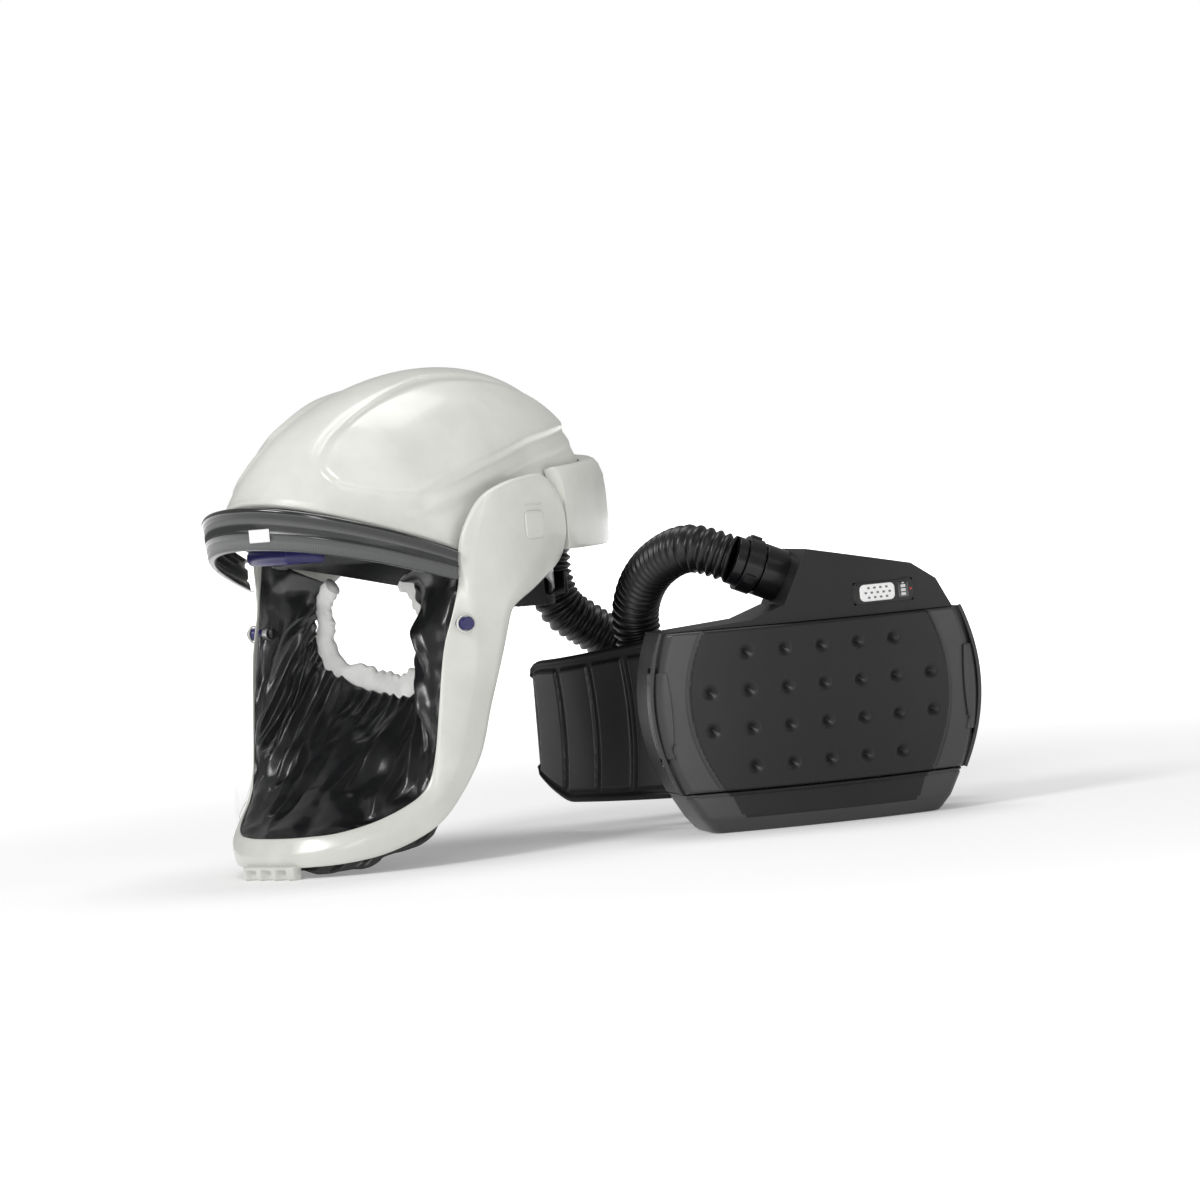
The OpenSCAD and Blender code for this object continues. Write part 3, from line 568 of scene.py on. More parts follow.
# The visor frame's arm, as stations from the pivot's lobe down to the chin. Each is
# (forward, up) of its back edge, of the line where the bevel starts, of its front edge
ARM_STATIONS = [
    ((-35, 211), (-35, 217), (-35, 223)),
    ((-32, 201), (-32, 222), (-32, 233)),
    ((-24, 190.5), (-24, 230), (-24, 243.5)),
    ((-10, 182.5), (-11, 240), (-11, 250.5)),
    ((6, 174), (4, 243), (4, 250)),
    ((20, 167.5), (22, 240), (24, 247)),
    ((27, 162), (43, 228), (46, 238)),
    ((31, 152), (57, 208), (62, 217)),
    ((34, 143), (60, 190), (66.5, 198)),
    ((38, 132), (61.5, 172), (67, 184)),
    ((45, 115), (62, 138), (74.5, 162)),
    ((52, 98), (70, 106), (83, 140)),
    ((57, 83), (79, 76), (91, 95)),
    ((64, 67), (87, 57), (95.5, 71)),
    ((79, 46), (100, 42), (101, 55)),
    ((98, 26.5), (114, 34), (111, 45)),
    ((128, 13), (132, 26.5), (133, 34.5)),
    ((150, 8.5), (151, 19.5), (153, 28.6)),
    ((163, 7.6), (163.5, 16), (164, 27.4)),
    ((169, 7.4), (169, 15.5), (169, 27)),
]
FRAME_WALL = 6


def spread_stations(stations, steps):
    """More stations between the given ones, on smooth curves."""
    def mix(values, t):
        p, q, r, s = values
        return smooth_curve(p, q, r, s, t)
    made = []
    count = len(stations)
    for i in range(count - 1):
        near = [stations[max(0, min(count - 1, i + k))] for k in (-1, 0, 1, 2)]
        for step in range(steps):
            made.append([
                tuple(mix([n[edge][axis] for n in near], step / steps) for axis in (0, 1))
                for edge in range(3)
            ])
    made.append([tuple(edge) for edge in stations[-1]])
    return made


def make_visor_frame():
    half = spread_stations(ARM_STATIONS, 3)
    loops = []
    for side in (1, -1):
        part = []
        for i, (back, line, front) in enumerate(half):
            bevel = 5.5 * smooth_step(i, 15, 30)
            tilt = 2.0 * smooth_step(i, 15, 30)
            corners = [
                (back, tilt), (line, 0.0), (front, bevel), (front, FRAME_WALL + 1), (back, FRAME_WALL + 1),
            ]
            points = []
            for (forward, up), inset in corners:
                forward, left = plan_point(plan_turn(forward) * side, inset)
                points.append(helmet(forward, left, up))
            part.append(rounded(points, 0.8))
        loops.append(part)
    middle = rounded([
        helmet(*plan_point(0, inset), up)
        for up, inset in ((7.4, 2.0), (15.5, 0), (27, 5.5), (27, FRAME_WALL + 1), (7.4, FRAME_WALL + 1))
    ], 0.8)
    ring = loops[0] + [middle] + list(reversed(loops[1]))
    obj = loft("frame_shape", ring, ["white_shell"], "visor_unit")
    subdivided(obj, 1)
    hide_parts("visor_frame")
    make_chin_tab()


def make_chin_tab():
    """The tab under the chin: a rounded shelf with three pockets in its front."""
    front = PLAN_CENTRE + HALF_LENGTH
    loops = []
    for left in [-24 + 48 * i / 48 for i in range(49)]:
        near = min(abs(left + 14), abs(left), abs(left - 14))
        pocket = smooth_step(near, 4.4, 3.6)
        round_end = 3 * smooth_step(abs(left), 20, 24)
        depth = front + 1.5 - round_end
        points = [
            helmet(front - 9, left, 0.3), helmet(depth - 4.6 * pocket, left, 0.3),
            helmet(depth - 4.6 * pocket, left, 6.4), helmet(depth, left, 6.8),
            helmet(depth, left, 9.5), helmet(front - 9, left, 9.5),
        ]
        loops.append(rounded(points, 0.8))
    tab = loft("chin_tab", loops, ["white_shell"], "visor_unit")
    subdivided(tab, 1)


VISOR_LOW = [
    (68.2, 184), (74.5, 163), (83, 141), (91, 96), (95.5, 72), (101, 56), (111, 46), (133, 35.5),
    (153, 29.4), (171, 27.6),
]
VISOR_HIGH = [(68.2, 185.6), (69, 186), (120, 203), (171, 218)]


def make_visor():
    cols, rows = 160, 26
    widest = plan_turn(68.6)
    grid = []
    for i in range(rows + 1):
        row = []
        for j in range(cols + 1):
            turn = widest * (2 * j / cols - 1)
            forward, left = plan_point(turn, 4.8)
            low, high = along(VISOR_LOW, forward + 1), along(VISOR_HIGH, forward)
            row.append(helmet(forward, left, low + (high - low) * i / rows))
        grid.append(row)
    obj = sheet_of("visor_sheet", grid, ["clear_polycarbonate"], "visor_unit")
    wall(obj, 1.5)
    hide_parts("visor")


BROW_LOW = [(68.6, 187), (69, 186.2), (120, 203.2), (171, 218.5)]
BROW_HIGH = [(68.6, 206.5), (110, 223), (150, 238), (171, 246)]


def make_brow_band():
    """The brow band: a rolled top lip, a ribbed dark face and a clear lower strip."""
    ribs = 170
    cols = ribs * 4
    widest = plan_turn(68.6)
    face = [
        (0.0, 5.5), (0.0, 1.5), (0.03, -0.2), (0.08, -0.9), (0.15, -0.9), (0.2, -0.3), (0.23, 0.5),
        (0.26, 0.6), (0.4, 0.5), (0.55, 0.6), (0.6, 0.2), (0.63, -0.1), (0.66, 0.2), (0.69, 1.1),
        (0.8, 1.3), (0.95, 1.6), (1.0, 2.2), (1.0, 5.5),
    ]
    grid = []
    for share, inset in face:
        ribbed = 0.45 if 0.25 < share < 0.6 or 0.69 < share < 0.96 else 0
        row = []
        for j in range(cols + 1):
            turn = widest * (2 * j / cols - 1)
            wave = ribbed * (0.5 + 0.5 * math.cos(TAU * j / 4))
            forward, left = plan_point(turn, inset - 0.2 + wave)
            high, low = along(BROW_HIGH, forward), along(BROW_LOW, forward)
            row.append(helmet(forward, left, high + (low - high) * share))
        grid.append(row)
    slots = [1 if 0.66 <= face[i][0] and face[i + 1][0] <= 1.0 else 0 for i in range(len(face) - 1)]
    obj = sheet_of("brow_band_shape", grid, ["smoke_plastic", "clear_strip"], "visor_unit", row_slots=slots)
    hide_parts("brow_band")


# -------------------------------------------------------------------- face seal
def draw_creases():
    """Random ridges of the gathered skirt: (u at the face, u at the frame, start,
    end, width, height), the start and end as shares of the way from the frame."""
    dice = random.Random(11)
    made = []
    count = 19
    for i in range(count):
        face = -0.95 + 1.9 * (i + dice.random()) / count
        frame_u = face * dice.uniform(0.75, 1.05) + dice.uniform(-0.1, 0.1)
        start = dice.uniform(0.0, 0.45)
        end = dice.uniform(0.75, 1.1)
        made.append((face, frame_u, start, end, dice.uniform(0.018, 0.036), dice.uniform(4.0, 9.0)))
    return made


CREASES = draw_creases()


# The skirt's outer edge, just behind the visor frame's inner edge: how far round
# the face, against how far forward and how high it lies
SEAL_FORWARD = [
    (0, 170.5), (0.12, 165.5), (0.25, 152.5), (0.4, 132.5), (0.5, 111), (0.57, 101), (0.66, 95.5),
    (0.8, 85), (0.9, 72), (1, 58),
]
SEAL_UP = [
    (0, 25), (0.12, 26), (0.25, 27), (0.4, 33), (0.5, 43.5), (0.57, 54), (0.66, 70), (0.8, 118),
    (0.9, 158), (1, 214),
]


def seal_place(u, share):
    """A point of the gathered skirt, u round the face from -1 to 1."""
    side = abs(u)
    turn = math.copysign(plan_turn(along(SEAL_FORWARD, side)), u)
    outer = Vector((*plan_point(turn, FRAME_WALL + 0.4), along(SEAL_UP, side)))
    round_face = math.radians(146 * u)
    cosine = math.cos(round_face)
    inner = Vector((48 - 10 * cosine, 58.5 * math.sin(round_face), 152 - 42.5 * cosine))
    place = outer.lerp(inner, share)
    place.z -= 14 * math.sin(math.pi * share) * (1 - side ** 3)
    place.x += 7 * math.sin(math.pi * share)
    return place


def fold_height(u, share):
    """The height of the creases, and of the small gathers next to the elastic."""
    total = 0.0
    for face, frame_u, start, end, width, height in CREASES:
        if not start < share < end:
            continue
        middle = frame_u + (face - frame_u) * share + 0.02 * math.sin(6 * share + 40 * face)
        fade = math.sin(math.pi * (share - start) / (end - start)) ** 0.6
        reach = abs(u - middle) / (width * (1.4 - 0.6 * share))
        total = max(total, height * fade * math.exp(-reach ** 1.7))
    gathers = 1.0 * math.sin(76 * u + 2 * math.sin(9 * u)) * smooth_step(share, 0.72, 1.0)
    broad = 3.2 * math.sin(9 * u + 2.5 * share) * math.sin(math.pi * share)
    return total + gathers + broad


def make_face_seal():
    cols, rows = 420, 70
    base = [[seal_place(2 * j / cols - 1, i / rows) for j in range(cols + 1)] for i in range(rows + 1)]
    grid = []
    for i in range(rows + 1):
        row = []
        for j in range(cols + 1):
            across = base[i][min(cols, j + 1)] - base[i][max(0, j - 1)]
            down = base[min(rows, i + 1)][j] - base[max(0, i - 1)][j]
            normal = across.cross(down).normalized()
            if normal.z < 0 and abs(normal.x) < 0.2:
                normal = -normal
            u, share = 2 * j / cols - 1, i / rows
            crinkle = noise.noise(base[i][j] * 0.035) * 5.0 + noise.noise(base[i][j] * 0.09) * 1.2
            ends = smooth_step(1 - abs(u), 0.0, 0.06)
            height = (fold_height(u, share) + crinkle) * smooth_step(share, 0, 0.08) * ends
            row.append(helmet(*(base[i][j] + normal * height)))
        grid.append(row)
    seal = sheet_of("seal_cloth", grid, ["coated_fabric"], "visor_unit")
    wall(seal, 0.9)
    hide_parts("face_seal")
    return seal


def make_seal_edge():
    """The soft white elastic round the face opening, wavy and thickest at the chin."""
    count, sides = 420, 22
    rings = []
    for i in range(count + 1):
        u = 2 * i / count - 1
        turn = math.radians(146 * u)
        forward = 45 - 10 * math.cos(turn)
        left = 59 * math.sin(turn)
        up = 152 - 43 * math.cos(turn)
        radial = Vector((0, math.sin(turn), -math.cos(turn)))
        depth = Vector((1, 0, 0))
        thick = 7.0 + 3.4 * math.exp(-(u / 0.45) ** 2)
        wave = 1 + 0.10 * math.sin(70 * u + 3 * math.sin(7 * u)) + 0.05 * math.sin(23 * u + 1)
        centre = Vector((forward, left, up)) - radial * (thick * 0.5)
        sway = 1.8 * math.sin(13 * u + 1) + 1.0 * math.sin(29 * u)
        centre += depth * 2.2 * math.sin(11 * u) + radial * sway
        ring = []
        for k in range(sides):
            a = TAU * k / sides
            seam = 1 - 0.16 * math.exp(-((a - 2.4) / 0.16) ** 2)
            point = centre + radial * math.cos(a) * thick * wave * seam + depth * math.sin(a) * 5.4 * seam
            ring.append(helmet(*point))
        rings.append(ring)
    edge = loft("seal_elastic", rings, ["white_elastic"], "visor_unit")
    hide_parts("face_seal_edge")
    return edge


def make_brow_label():
    """A small blank label on the brow band, left of its middle."""
    rows = []
    for up in (222, 222.6, 225, 228, 230, 230.6):
        row = []
        for j in range(25):
            turn = math.radians(6 + 8 * j / 24)
            edge = min(j, 24 - j) < 1 or up in (222, 230.6)
            forward, left = plan_point(turn, -0.4 if edge else -1.25)
            row.append(helmet(forward, left, up))
        rows.append(row)
    label = sheet_of("label_patch", rows, ["white_label"], "visor_unit")
    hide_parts("brow_label")


def make_seal_hem():
    """The scalloped hem of the skirt, showing under the visor frame."""
    rows = []
    for level in range(7):
        row = []
        for j in range(301):
            turn = math.radians(-58 + 116 * j / 300)
            forward, left = plan_point(turn, 8.5 + 0.8 * math.sin(40 * turn + level))
            under = along(FRAME_UNDER, forward)
            scallop = 2.2 * abs(math.sin(9 * turn)) + 1.2 * math.sin(23 * turn)
            drop = (3.5 + scallop) * smooth_step(abs(turn), 0.12, 0.4)
            row.append(helmet(forward, left, max(0.4, under + 6 - (6 + drop) * level / 6)))
        rows.append(row)
    hem = sheet_of("seal_hem", rows, ["coated_fabric"], "visor_unit")
    wall(hem, 0.9)
    return hem


FRAME_UNDER = [(56, 85), (60, 69), (77, 49), (96, 26), (128, 12), (150, 7), (171, 6)]


def make_button(name, side):
    """An oval release button with a shallow dish, and a ring round it."""
    turn = plan_turn(67) * side
    forward, left = plan_point(turn, 0)
    centre = Vector((forward, left, 157))
    out = Vector((math.cos(turn) * HALF_WIDTH / HALF_LENGTH, math.sin(turn), 0)).normalized()
    level = Vector((-out.y, out.x, 0))
    up = Vector((0, 0, 1))
    profile = [(5.4, -9), (5.4, 1.7), (5.1, 2.3), (4.4, 2.6), (3.0, 2.4), (0.02, 2.1)]
    rings = []
    for radius, height in profile:
        rings.append([
            helmet(*(centre + out * height + (level * math.cos(a) + up * math.sin(a) * 0.82) * radius))
            for a in [TAU * k / 40 for k in range(40)]
        ])
    button = loft(name + "_cap", rings, ["purple_plastic"], name)
    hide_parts(name)
    ring_profile = [(6.0, -0.5), (6.0, 0.35), (6.6, 0.6), (7.3, 0.35), (7.4, -0.5), (6.0, -0.5)]
    rings = [[
        helmet(*(centre + out * height + (level * math.cos(a) + up * math.sin(a) * 0.84) * radius))
        for a in [TAU * k / 40 for k in range(40)]
    ] for radius, height in ring_profile]
    loft(name + "_ring", rings, ["white_shell"], "visor_unit", capped=False)
    cup = [[
        helmet(*(centre + out * height + (level * math.cos(a) + up * math.sin(a)) * radius))
        for a in [TAU * k / 32 for k in range(32)]
    ] for radius, height in ((4.8, -5.5), (4.8, -17.2), (4.2, -18.0), (0.05, -18.2))]
    loft(name + "_cup", cup, ["black_plastic"], "visor_unit")


def make_badges():
    """Blank rounded badges over the pivots, with a thin raised line above each."""
    for side in (1, -1):
        loops = []
        for height, half in ((0.0, 9.6), (0.9, 9.6), (1.2, 9.2), (1.25, 8.0)):
            loop = []
            for k in range(48):
                a = TAU * k / 48
                c, s = math.cos(a), math.sin(a)
                x = half * 0.98 * math.copysign(abs(c) ** 0.4, c)
                z = half * math.copysign(abs(s) ** 0.4, s)
                turn = (math.pi / 2 - math.asin((x + 0.5 - PLAN_CENTRE) / HALF_LENGTH)) * side
                forward, left = plan_point(turn, -height + 0.1)
                loop.append(helmet(forward, left, PIVOT_HIGH + z))
            loops.append(loop)
        badge = loft("badge_left" if side > 0 else "badge_right", loops, ["white_shell"], "visor_unit")
        if side > 0:
            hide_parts("pivot_badges")
        line = []
        for x in [-8 + i for i in range(17)]:
            turn = (math.pi / 2 - math.asin((x - PLAN_CENTRE) / HALF_LENGTH)) * side
            line.append(rounded([
                helmet(*plan_point(turn, inset), PIVOT_HIGH + up)
                for inset, up in ((0.4, 13), (-0.5, 13), (-0.5, 14.2), (0.4, 14.2))
            ], 0.3))
        loft("badge_line_left" if side > 0 else "badge_line_right", line, ["white_shell"], "visor_unit")


# ------------------------------------------------------------------------- hose
HOSE_ROUTE = [
    (-27.6, 101, 196), (-27.6, 101, 176), (-21, 105, 155), (-4, 112, 140), (22, 121, 120),
    (50, 131, 92), (78, 139, 58), (108, 145, 30), (146, 147, 18), (180, 134, 17.5),
    (196, 104, 17.5), (180, 78, 17.5), (142, 65, 20), (102, 59, 38), (66, 57, 68),
    (40, 55, 104), (30, 52, 138), (34, 36, 163), (48, 8, 182), (70, -22, 191), (97.2, -30.5, 181.6),
]
HOSE_RADIUS = 16.5
HOSE_PITCH = 6.0


def curve_point(p, q, r, s, t):
    return smooth_curve(p, q, r, s, t)


def smooth_route(points, steps):
    made = []
    last = len(points) - 1
    for i in range(last):
        near = [points[max(0, min(last, i + k))] for k in (-1, 0, 1, 2)]
        made += [curve_point(*near, k / steps) for k in range(steps)]
    return made + [points[last]]


def even_route(points, spacing):
    """The same line with its points an even distance apart."""
    made, carried = [points[0]], 0.0
    for a, b in zip(points, points[1:]):
        length = (b - a).length
        while carried + length >= spacing:
            reach = spacing - carried
            a = a + (b - a) * (reach / length)
            made.append(a)
            length = (b - a).length
            carried = 0.0
        carried += length
    return made


def swept(name, route, radii, sides, material, body):
    """A tube along a route, whose radius in metres changes from point to point."""
    rings = []
    normal = None
    for i, place in enumerate(route):
        heading = (route[min(i + 1, len(route) - 1)] - route[max(i - 1, 0)]).normalized()
        if normal is None:
            normal = heading.orthogonal().normalized()
        normal = (normal - heading * normal.dot(heading)).normalized()
        other = heading.cross(normal)
        rings.append([
            place + (normal * math.cos(TAU * k / sides) + other * math.sin(TAU * k / sides)) * radii[i]
            for k in range(sides)
        ])
    return loft(name, rings, [material], body)


def make_hose():
    route = smooth_route([Vector(p) * MM for p in HOSE_ROUTE], 40)
    step = HOSE_PITCH / 8
    route = even_route(route, step * MM)
    radii = []
    for i in range(len(route)):
        wave = 0.5 + 0.5 * math.cos(TAU * i * step / HOSE_PITCH)
        radii.append((HOSE_RADIUS - 2.6 * (1 - wave ** 0.7)) * MM)
    hose = swept("hose_tube", route, radii, 36, "hose_rubber", "root")
    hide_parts("breathing_hose")


# ------------------------------------------------------------------------ blower
COVER_LOW, COVER_HIGH = 28.4, 136.6
COVER_BOW = 335
DIMPLE_PITCH = 25.5


def side_at(z, inset=0.0):
    return 113 - 0.0042 * (z - 88) ** 2 - inset


def front_at(x, middle):
    return middle + x * x / (2 * COVER_BOW)


def panel_edge(z):
    """Half the width of the raised middle panel of the cover."""
    return 90 - 0.0052 * (z - 88) ** 2


def dimple_depth(x, z):
    col = round(x / DIMPLE_PITCH)
    row = min(1.5, max(-1.5, round((z - 82.5) / DIMPLE_PITCH - 0.5) + 0.5))
    if abs(col) > 3 or (abs(col) == 3 and abs(row) > 1):
        return 0.0
    reach = math.hypot(x - col * DIMPLE_PITCH, z - 82.5 - row * DIMPLE_PITCH)
    return 4.2 * max(0.0, 1 - reach / 5.4) ** 1.3


def make_filter_cover():
    """The cover: side bands, a raised middle panel with dimples, rounded sides."""
    across = [-side_at(82) + 226 * i / 340 for i in range(341)]
    heights = [COVER_LOW + (COVER_HIGH - COVER_LOW) * i / 150 for i in range(151)]
    round_r = 7.0
    grid = []
    for z in heights:
        row = []
        half = side_at(z)
        near_edge = min(z - COVER_LOW, COVER_HIGH - z)
        lip = 1.6 * (1 - smooth_step(near_edge, 0, 2.2)) ** 2
        for x0 in across:
            x = x0 * (half - 0.4) / side_at(82)
            raised = 1.3 * (1 - smooth_step(abs(x), panel_edge(z) - 1.2, panel_edge(z) + 1.2))
            groove = 0.5 * math.exp(-((abs(x) - panel_edge(z) - 1.5) / 0.7) ** 2)
            reach = half - abs(x)
            corner = round_r - math.sqrt(max(0.0, round_r ** 2 - max(0.0, round_r - reach) ** 2))
            y = front_at(x, -70) + 1.3 - raised + groove + corner + lip + dimple_depth(x, z)
            row.append((x, y, z))
        sides = []
        for k in range(1, 9):
            sides.append((row[-1][1] + (-50.4 - row[-1][1]) * k / 8))
        start = [(-half, y, z) for y in reversed(sides)]
        end = [(half, y, z) for y in sides]
        grid.append([blower(*p) for p in start + row + end])
    # The side bands and rounded sides get the lighter grey: painted highlight.
    cover = sheet_of("filter_cover_shape", grid, ["dark_plastic", "band_highlight_plastic"], "filter_unit")
    mark_bands(cover)
    wall(cover, 2.4)
    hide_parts("filter_cover")


def mark_bands(obj):
    """Gives the faces outside the middle panel's arcs the second material, a lighter grey: painted
    highlight on the rounded sides.
    """
    c, s = math.cos(BLOWER_TURN), math.sin(BLOWER_TURN)
    for face in obj.data.polygons:
        place = face.center / MM
        x = (place.x - BLOWER_PLACE[0]) * c + (place.y - BLOWER_PLACE[1]) * s
        y = (place.y - BLOWER_PLACE[1]) * c - (place.x - BLOWER_PLACE[0]) * s
        outside = abs(x) > panel_edge(place.z) or y > -40 or place.z < BEVEL_TOP
        face.material_index = 1 if outside else 0


def make_latches():
    """The latch levers: thin shells over the cover's rounded sides, with a finger lip."""
    for name, side in (("left", -1), ("right", 1)):
        rows = []
        for i in range(41):
            z = 53.4 + 57.2 * i / 40
            row = []
            half = side_at(z)
            inner = 104.5 - 2.5 * math.cos(math.pi * (z - 82) / 70)
            for k in range(10):
                x = inner + (half - 7 - inner) * k / 9
                row.append(blower(side * x, front_at(x, -70) + 0.95, z))
            for k in range(1, 9):
                a = math.pi / 2 * k / 8
                x = half - 7 + 7 * math.sin(a)
                row.append(blower(side * (x + 0.35), front_at(x, -70) + 0.95 + 7 * (1 - math.cos(a)), z))
            for y in (-44, -38, -33):
                row.append(blower(side * (half + 0.35), y, z))
            rows.append(row)
        # The levers get the lighter grey: painted highlight.
        lever = sheet_of("latch_shape_" + name, rows, ["band_highlight_plastic"], "latch_" + name, flip=side > 0)
        wall(lever, 1.2)
        edge = lever.modifiers.new("edge", "BEVEL")
        edge.width = 0.3 * MM
        edge.segments = 2
        edge.angle_limit = math.radians(50)
        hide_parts("cover_latch_" + name)


BEVEL_TOP = 9.0


def make_battery():
    """The battery's case: a thin shoulder line, a bevelled foot and soft corners."""
    shape = [
        (0.0, 3.5, -58.5), (0.6, 1.6, -61.6), (2.5, 0.8, -62.6), (8.2, 0.2, -65.6),
        (9.6, 0.0, -66.8), (12, 0.0, -67), (24.5, 0.0, -67), (25.2, 0.7, -66.2),
        (26.0, 0.7, -66.2), (26.4, 0.1, -66.9), (27.3, 0.2, -66.8), (27.6, 1.0, -66),
    ]
    loops = []
    for z, inset, front in shape:
        half = side_at(z) - inset
        loop = []
        for i in range(101):
            x = half * (2 * i / 100 - 1)
            reach = half - abs(x)
            corner = 6 - math.sqrt(max(0.0, 36 - max(0.0, 6 - reach) ** 2))
            loop.append(blower(x, front_at(x, front) + corner, z))
        for i in range(41):
            x = half * (1 - 2 * i / 40)
            reach = half - abs(x)
            corner = 4 - math.sqrt(max(0.0, 16 - max(0.0, 4 - reach) ** 2))
            loop.append(blower(x, -0.2 - inset * 0.3 - corner, z))
        loops.append(loop)
    # The sides and the foot get the lighter grey: painted highlight.
    case = loft("battery_shape", loops, ["dark_plastic", "battery_plastic"], "battery")
    mark_bands(case)
    normals = case.modifiers.new("normals", "WEIGHTED_NORMAL")
    normals.keep_sharp = False
    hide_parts("battery_case")


PANEL_X, PANEL_Z, PANEL_DEPTH = 46, 150, 3.6
PANEL_TURN = math.asin(PANEL_X / COVER_BOW)


def on_panel(x, y, z):
    """A point of the control panel's frame, whose -Y points out of the tower."""
    c, s = math.cos(PANEL_TURN), math.sin(PANEL_TURN)
    start = front_at(PANEL_X, -66) + PANEL_DEPTH
    return blower(PANEL_X + x * c - y * s, start + x * s + y * c, PANEL_Z + z)


def oval(wide, high, corner, steps=10):
    """A rounded rectangle's points round its middle."""
    made = []
    for i, (sx, sz) in enumerate(((1, 1), (-1, 1), (-1, -1), (1, -1))):
        for k in range(steps + 1):
            a = math.pi / 2 * (i + k / steps)
            across = sx * (wide / 2 - corner) + corner * math.cos(a)
            made.append((across, sz * (high / 2 - corner) + corner * math.sin(a)))
    return made


def plate(name, centre, size, corner, y_back, y_front, material, body, edge=0.4):
    """A rounded plate on the control panel, with a softened front edge."""
    loops = []
    steps = [
        (y_back, 0), (y_front + edge, 0), (y_front + edge * 0.3, edge * 0.3), (y_front, edge),
        (y_front - 0.02, edge * 3),
    ]
    for y, inset in steps:
        loops.append([
            on_panel(centre[0] + x, y, centre[1] + z)
            for x, z in oval(size[0] - 2 * inset, size[1] - 2 * inset, max(0.1, corner - inset))
        ])
    return loft(name, loops, [material], body)


def make_control_panel():
    size = (25.4, 11.4)
    button = plate("power_pad", (-3, 1.5), size, 3.4, -1.5, -5.0, "white_plastic", "power_button", 0.5)
    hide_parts("power_button")
    for row, count in ((3.2, 4), (0.0, 5), (-3.2, 4)):
        for i in range(count):
            x = -3 + (i - (count - 1) / 2) * 4.4
            name = f"pad_dot_{count}_{i}_{int(row + 4)}"
            plate(name, (x, 1.5 + row), (2.0, 1.5), 0.7, -4.6, -5.12, "dot_grey", "power_button", 0.05)
    window = plate("gauge_plate", (16.5, 1.5), (7.4, 10.6), 1.0, -1.0, -3.7, "gauge_window", "root", 0.2)
    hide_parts("battery_gauge")
    for i in range(3):
        middle = (16.5, -1.4 + 2.7 * i)
        plate(f"gauge_bar_{i}", middle, (3.4, 1.9), 0.3, -3.4, -3.85, "gauge_mark", "root", 0.05)
    plate("gauge_tip", (16.5, 6.0), (1.8, 0.8), 0.2, -3.4, -3.85, "gauge_mark", "root", 0.05)
    panel = plate("panel_plate", (2, 1.5), (44, 15), 6.0, -0.4, -3.5, "black_plastic", "root", 0.3)
    rim = plate("panel_rim", (2, 1.5), (46.5, 17), 7.0, -0.4, -3.3, "dark_plastic", "root", 0.3)
    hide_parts("control_panel")


# ---------------------------------------------------------------------- belt pad
PAD_CENTRE_Y = 176
PAD_LOW, PAD_HIGH = 20, 132


def pad_point(turn, radius, z):
    return blower(radius * math.sin(turn), PAD_CENTRE_Y - radius * math.cos(turn), z)


def pad_ends(turn):
    """The pad's lowest and highest point at a turn: it tapers toward its left end."""
    degrees = math.degrees(turn)
    high = 131.5 - 12 * smooth_step(-degrees, 20, 71)
    low = 20.4 + 14 * smooth_step(-degrees, 58, 71)
    end = min(degrees + 71, 43 - degrees)
    tuck = 9 * (1 - math.sqrt(max(0.0, 1 - max(0.0, 1 - end / 6) ** 2)))
    return low + tuck, high - tuck


RIB_TURNS = [math.radians(t) for t in (-24, -34, -44, -54, -64)]


def pad_relief(turn, share):
    """How far the pad's outer face stands out: ribs with curved grooves between."""
    lean = math.radians(1.6) * (2 * share - 1) ** 2
    face = 0.0
    for middle in RIB_TURNS:
        reach = abs(turn + lean - middle)
        face = max(face, 2.0 * (1 - smooth_step(reach, math.radians(4.0), math.radians(4.5))))
    rim = 1.9 * max(1 - smooth_step(share, 0.03, 0.055), smooth_step(share, 0.945, 0.97))
    inner = smooth_step(share, 0.06, 0.09) * (1 - smooth_step(share, 0.9, 0.93))
    return max(rim, face * inner)


def make_pad():
    cols, rows = 420, 90
    first, last = math.radians(-71), math.radians(43)
    grid = []
    for i in range(rows + 1):
        share = i / rows
        row = []
        for j in range(cols + 1):
            turn = first + (last - first) * j / cols
            low, high = pad_ends(turn)
            edge = min(share, 1 - share, j / cols * 2, (cols - j) / cols * 2)
            soft = 1.4 * (1 - smooth_step(edge, 0, 0.02))
            radius = 168 + pad_relief(turn, share) - soft
            row.append(pad_point(turn, radius, low + (high - low) * share))
        grid.append(row)
    shell = sheet_of("pad_cover", grid, ["black_rubber", "rib_highlight_rubber"], "root")
    # Ribs get the lighter rubber, grooves and rim the darker: painted highlight on the ribs, painted shade
    # in the grooves.
    for i, face in enumerate(shell.data.polygons):
        row, column = divmod(i, cols)
        turn = first + (last - first) * (column + 0.5) / cols
        on_rib = 0.08 < row / rows < 0.91 and pad_relief(turn, (row + 0.5) / rows) > 1.0
        face.material_index = 1 if on_rib else 0
    wall(shell, 3.6)
    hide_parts("pad_shell", "pad_ribs", "pad_rim")


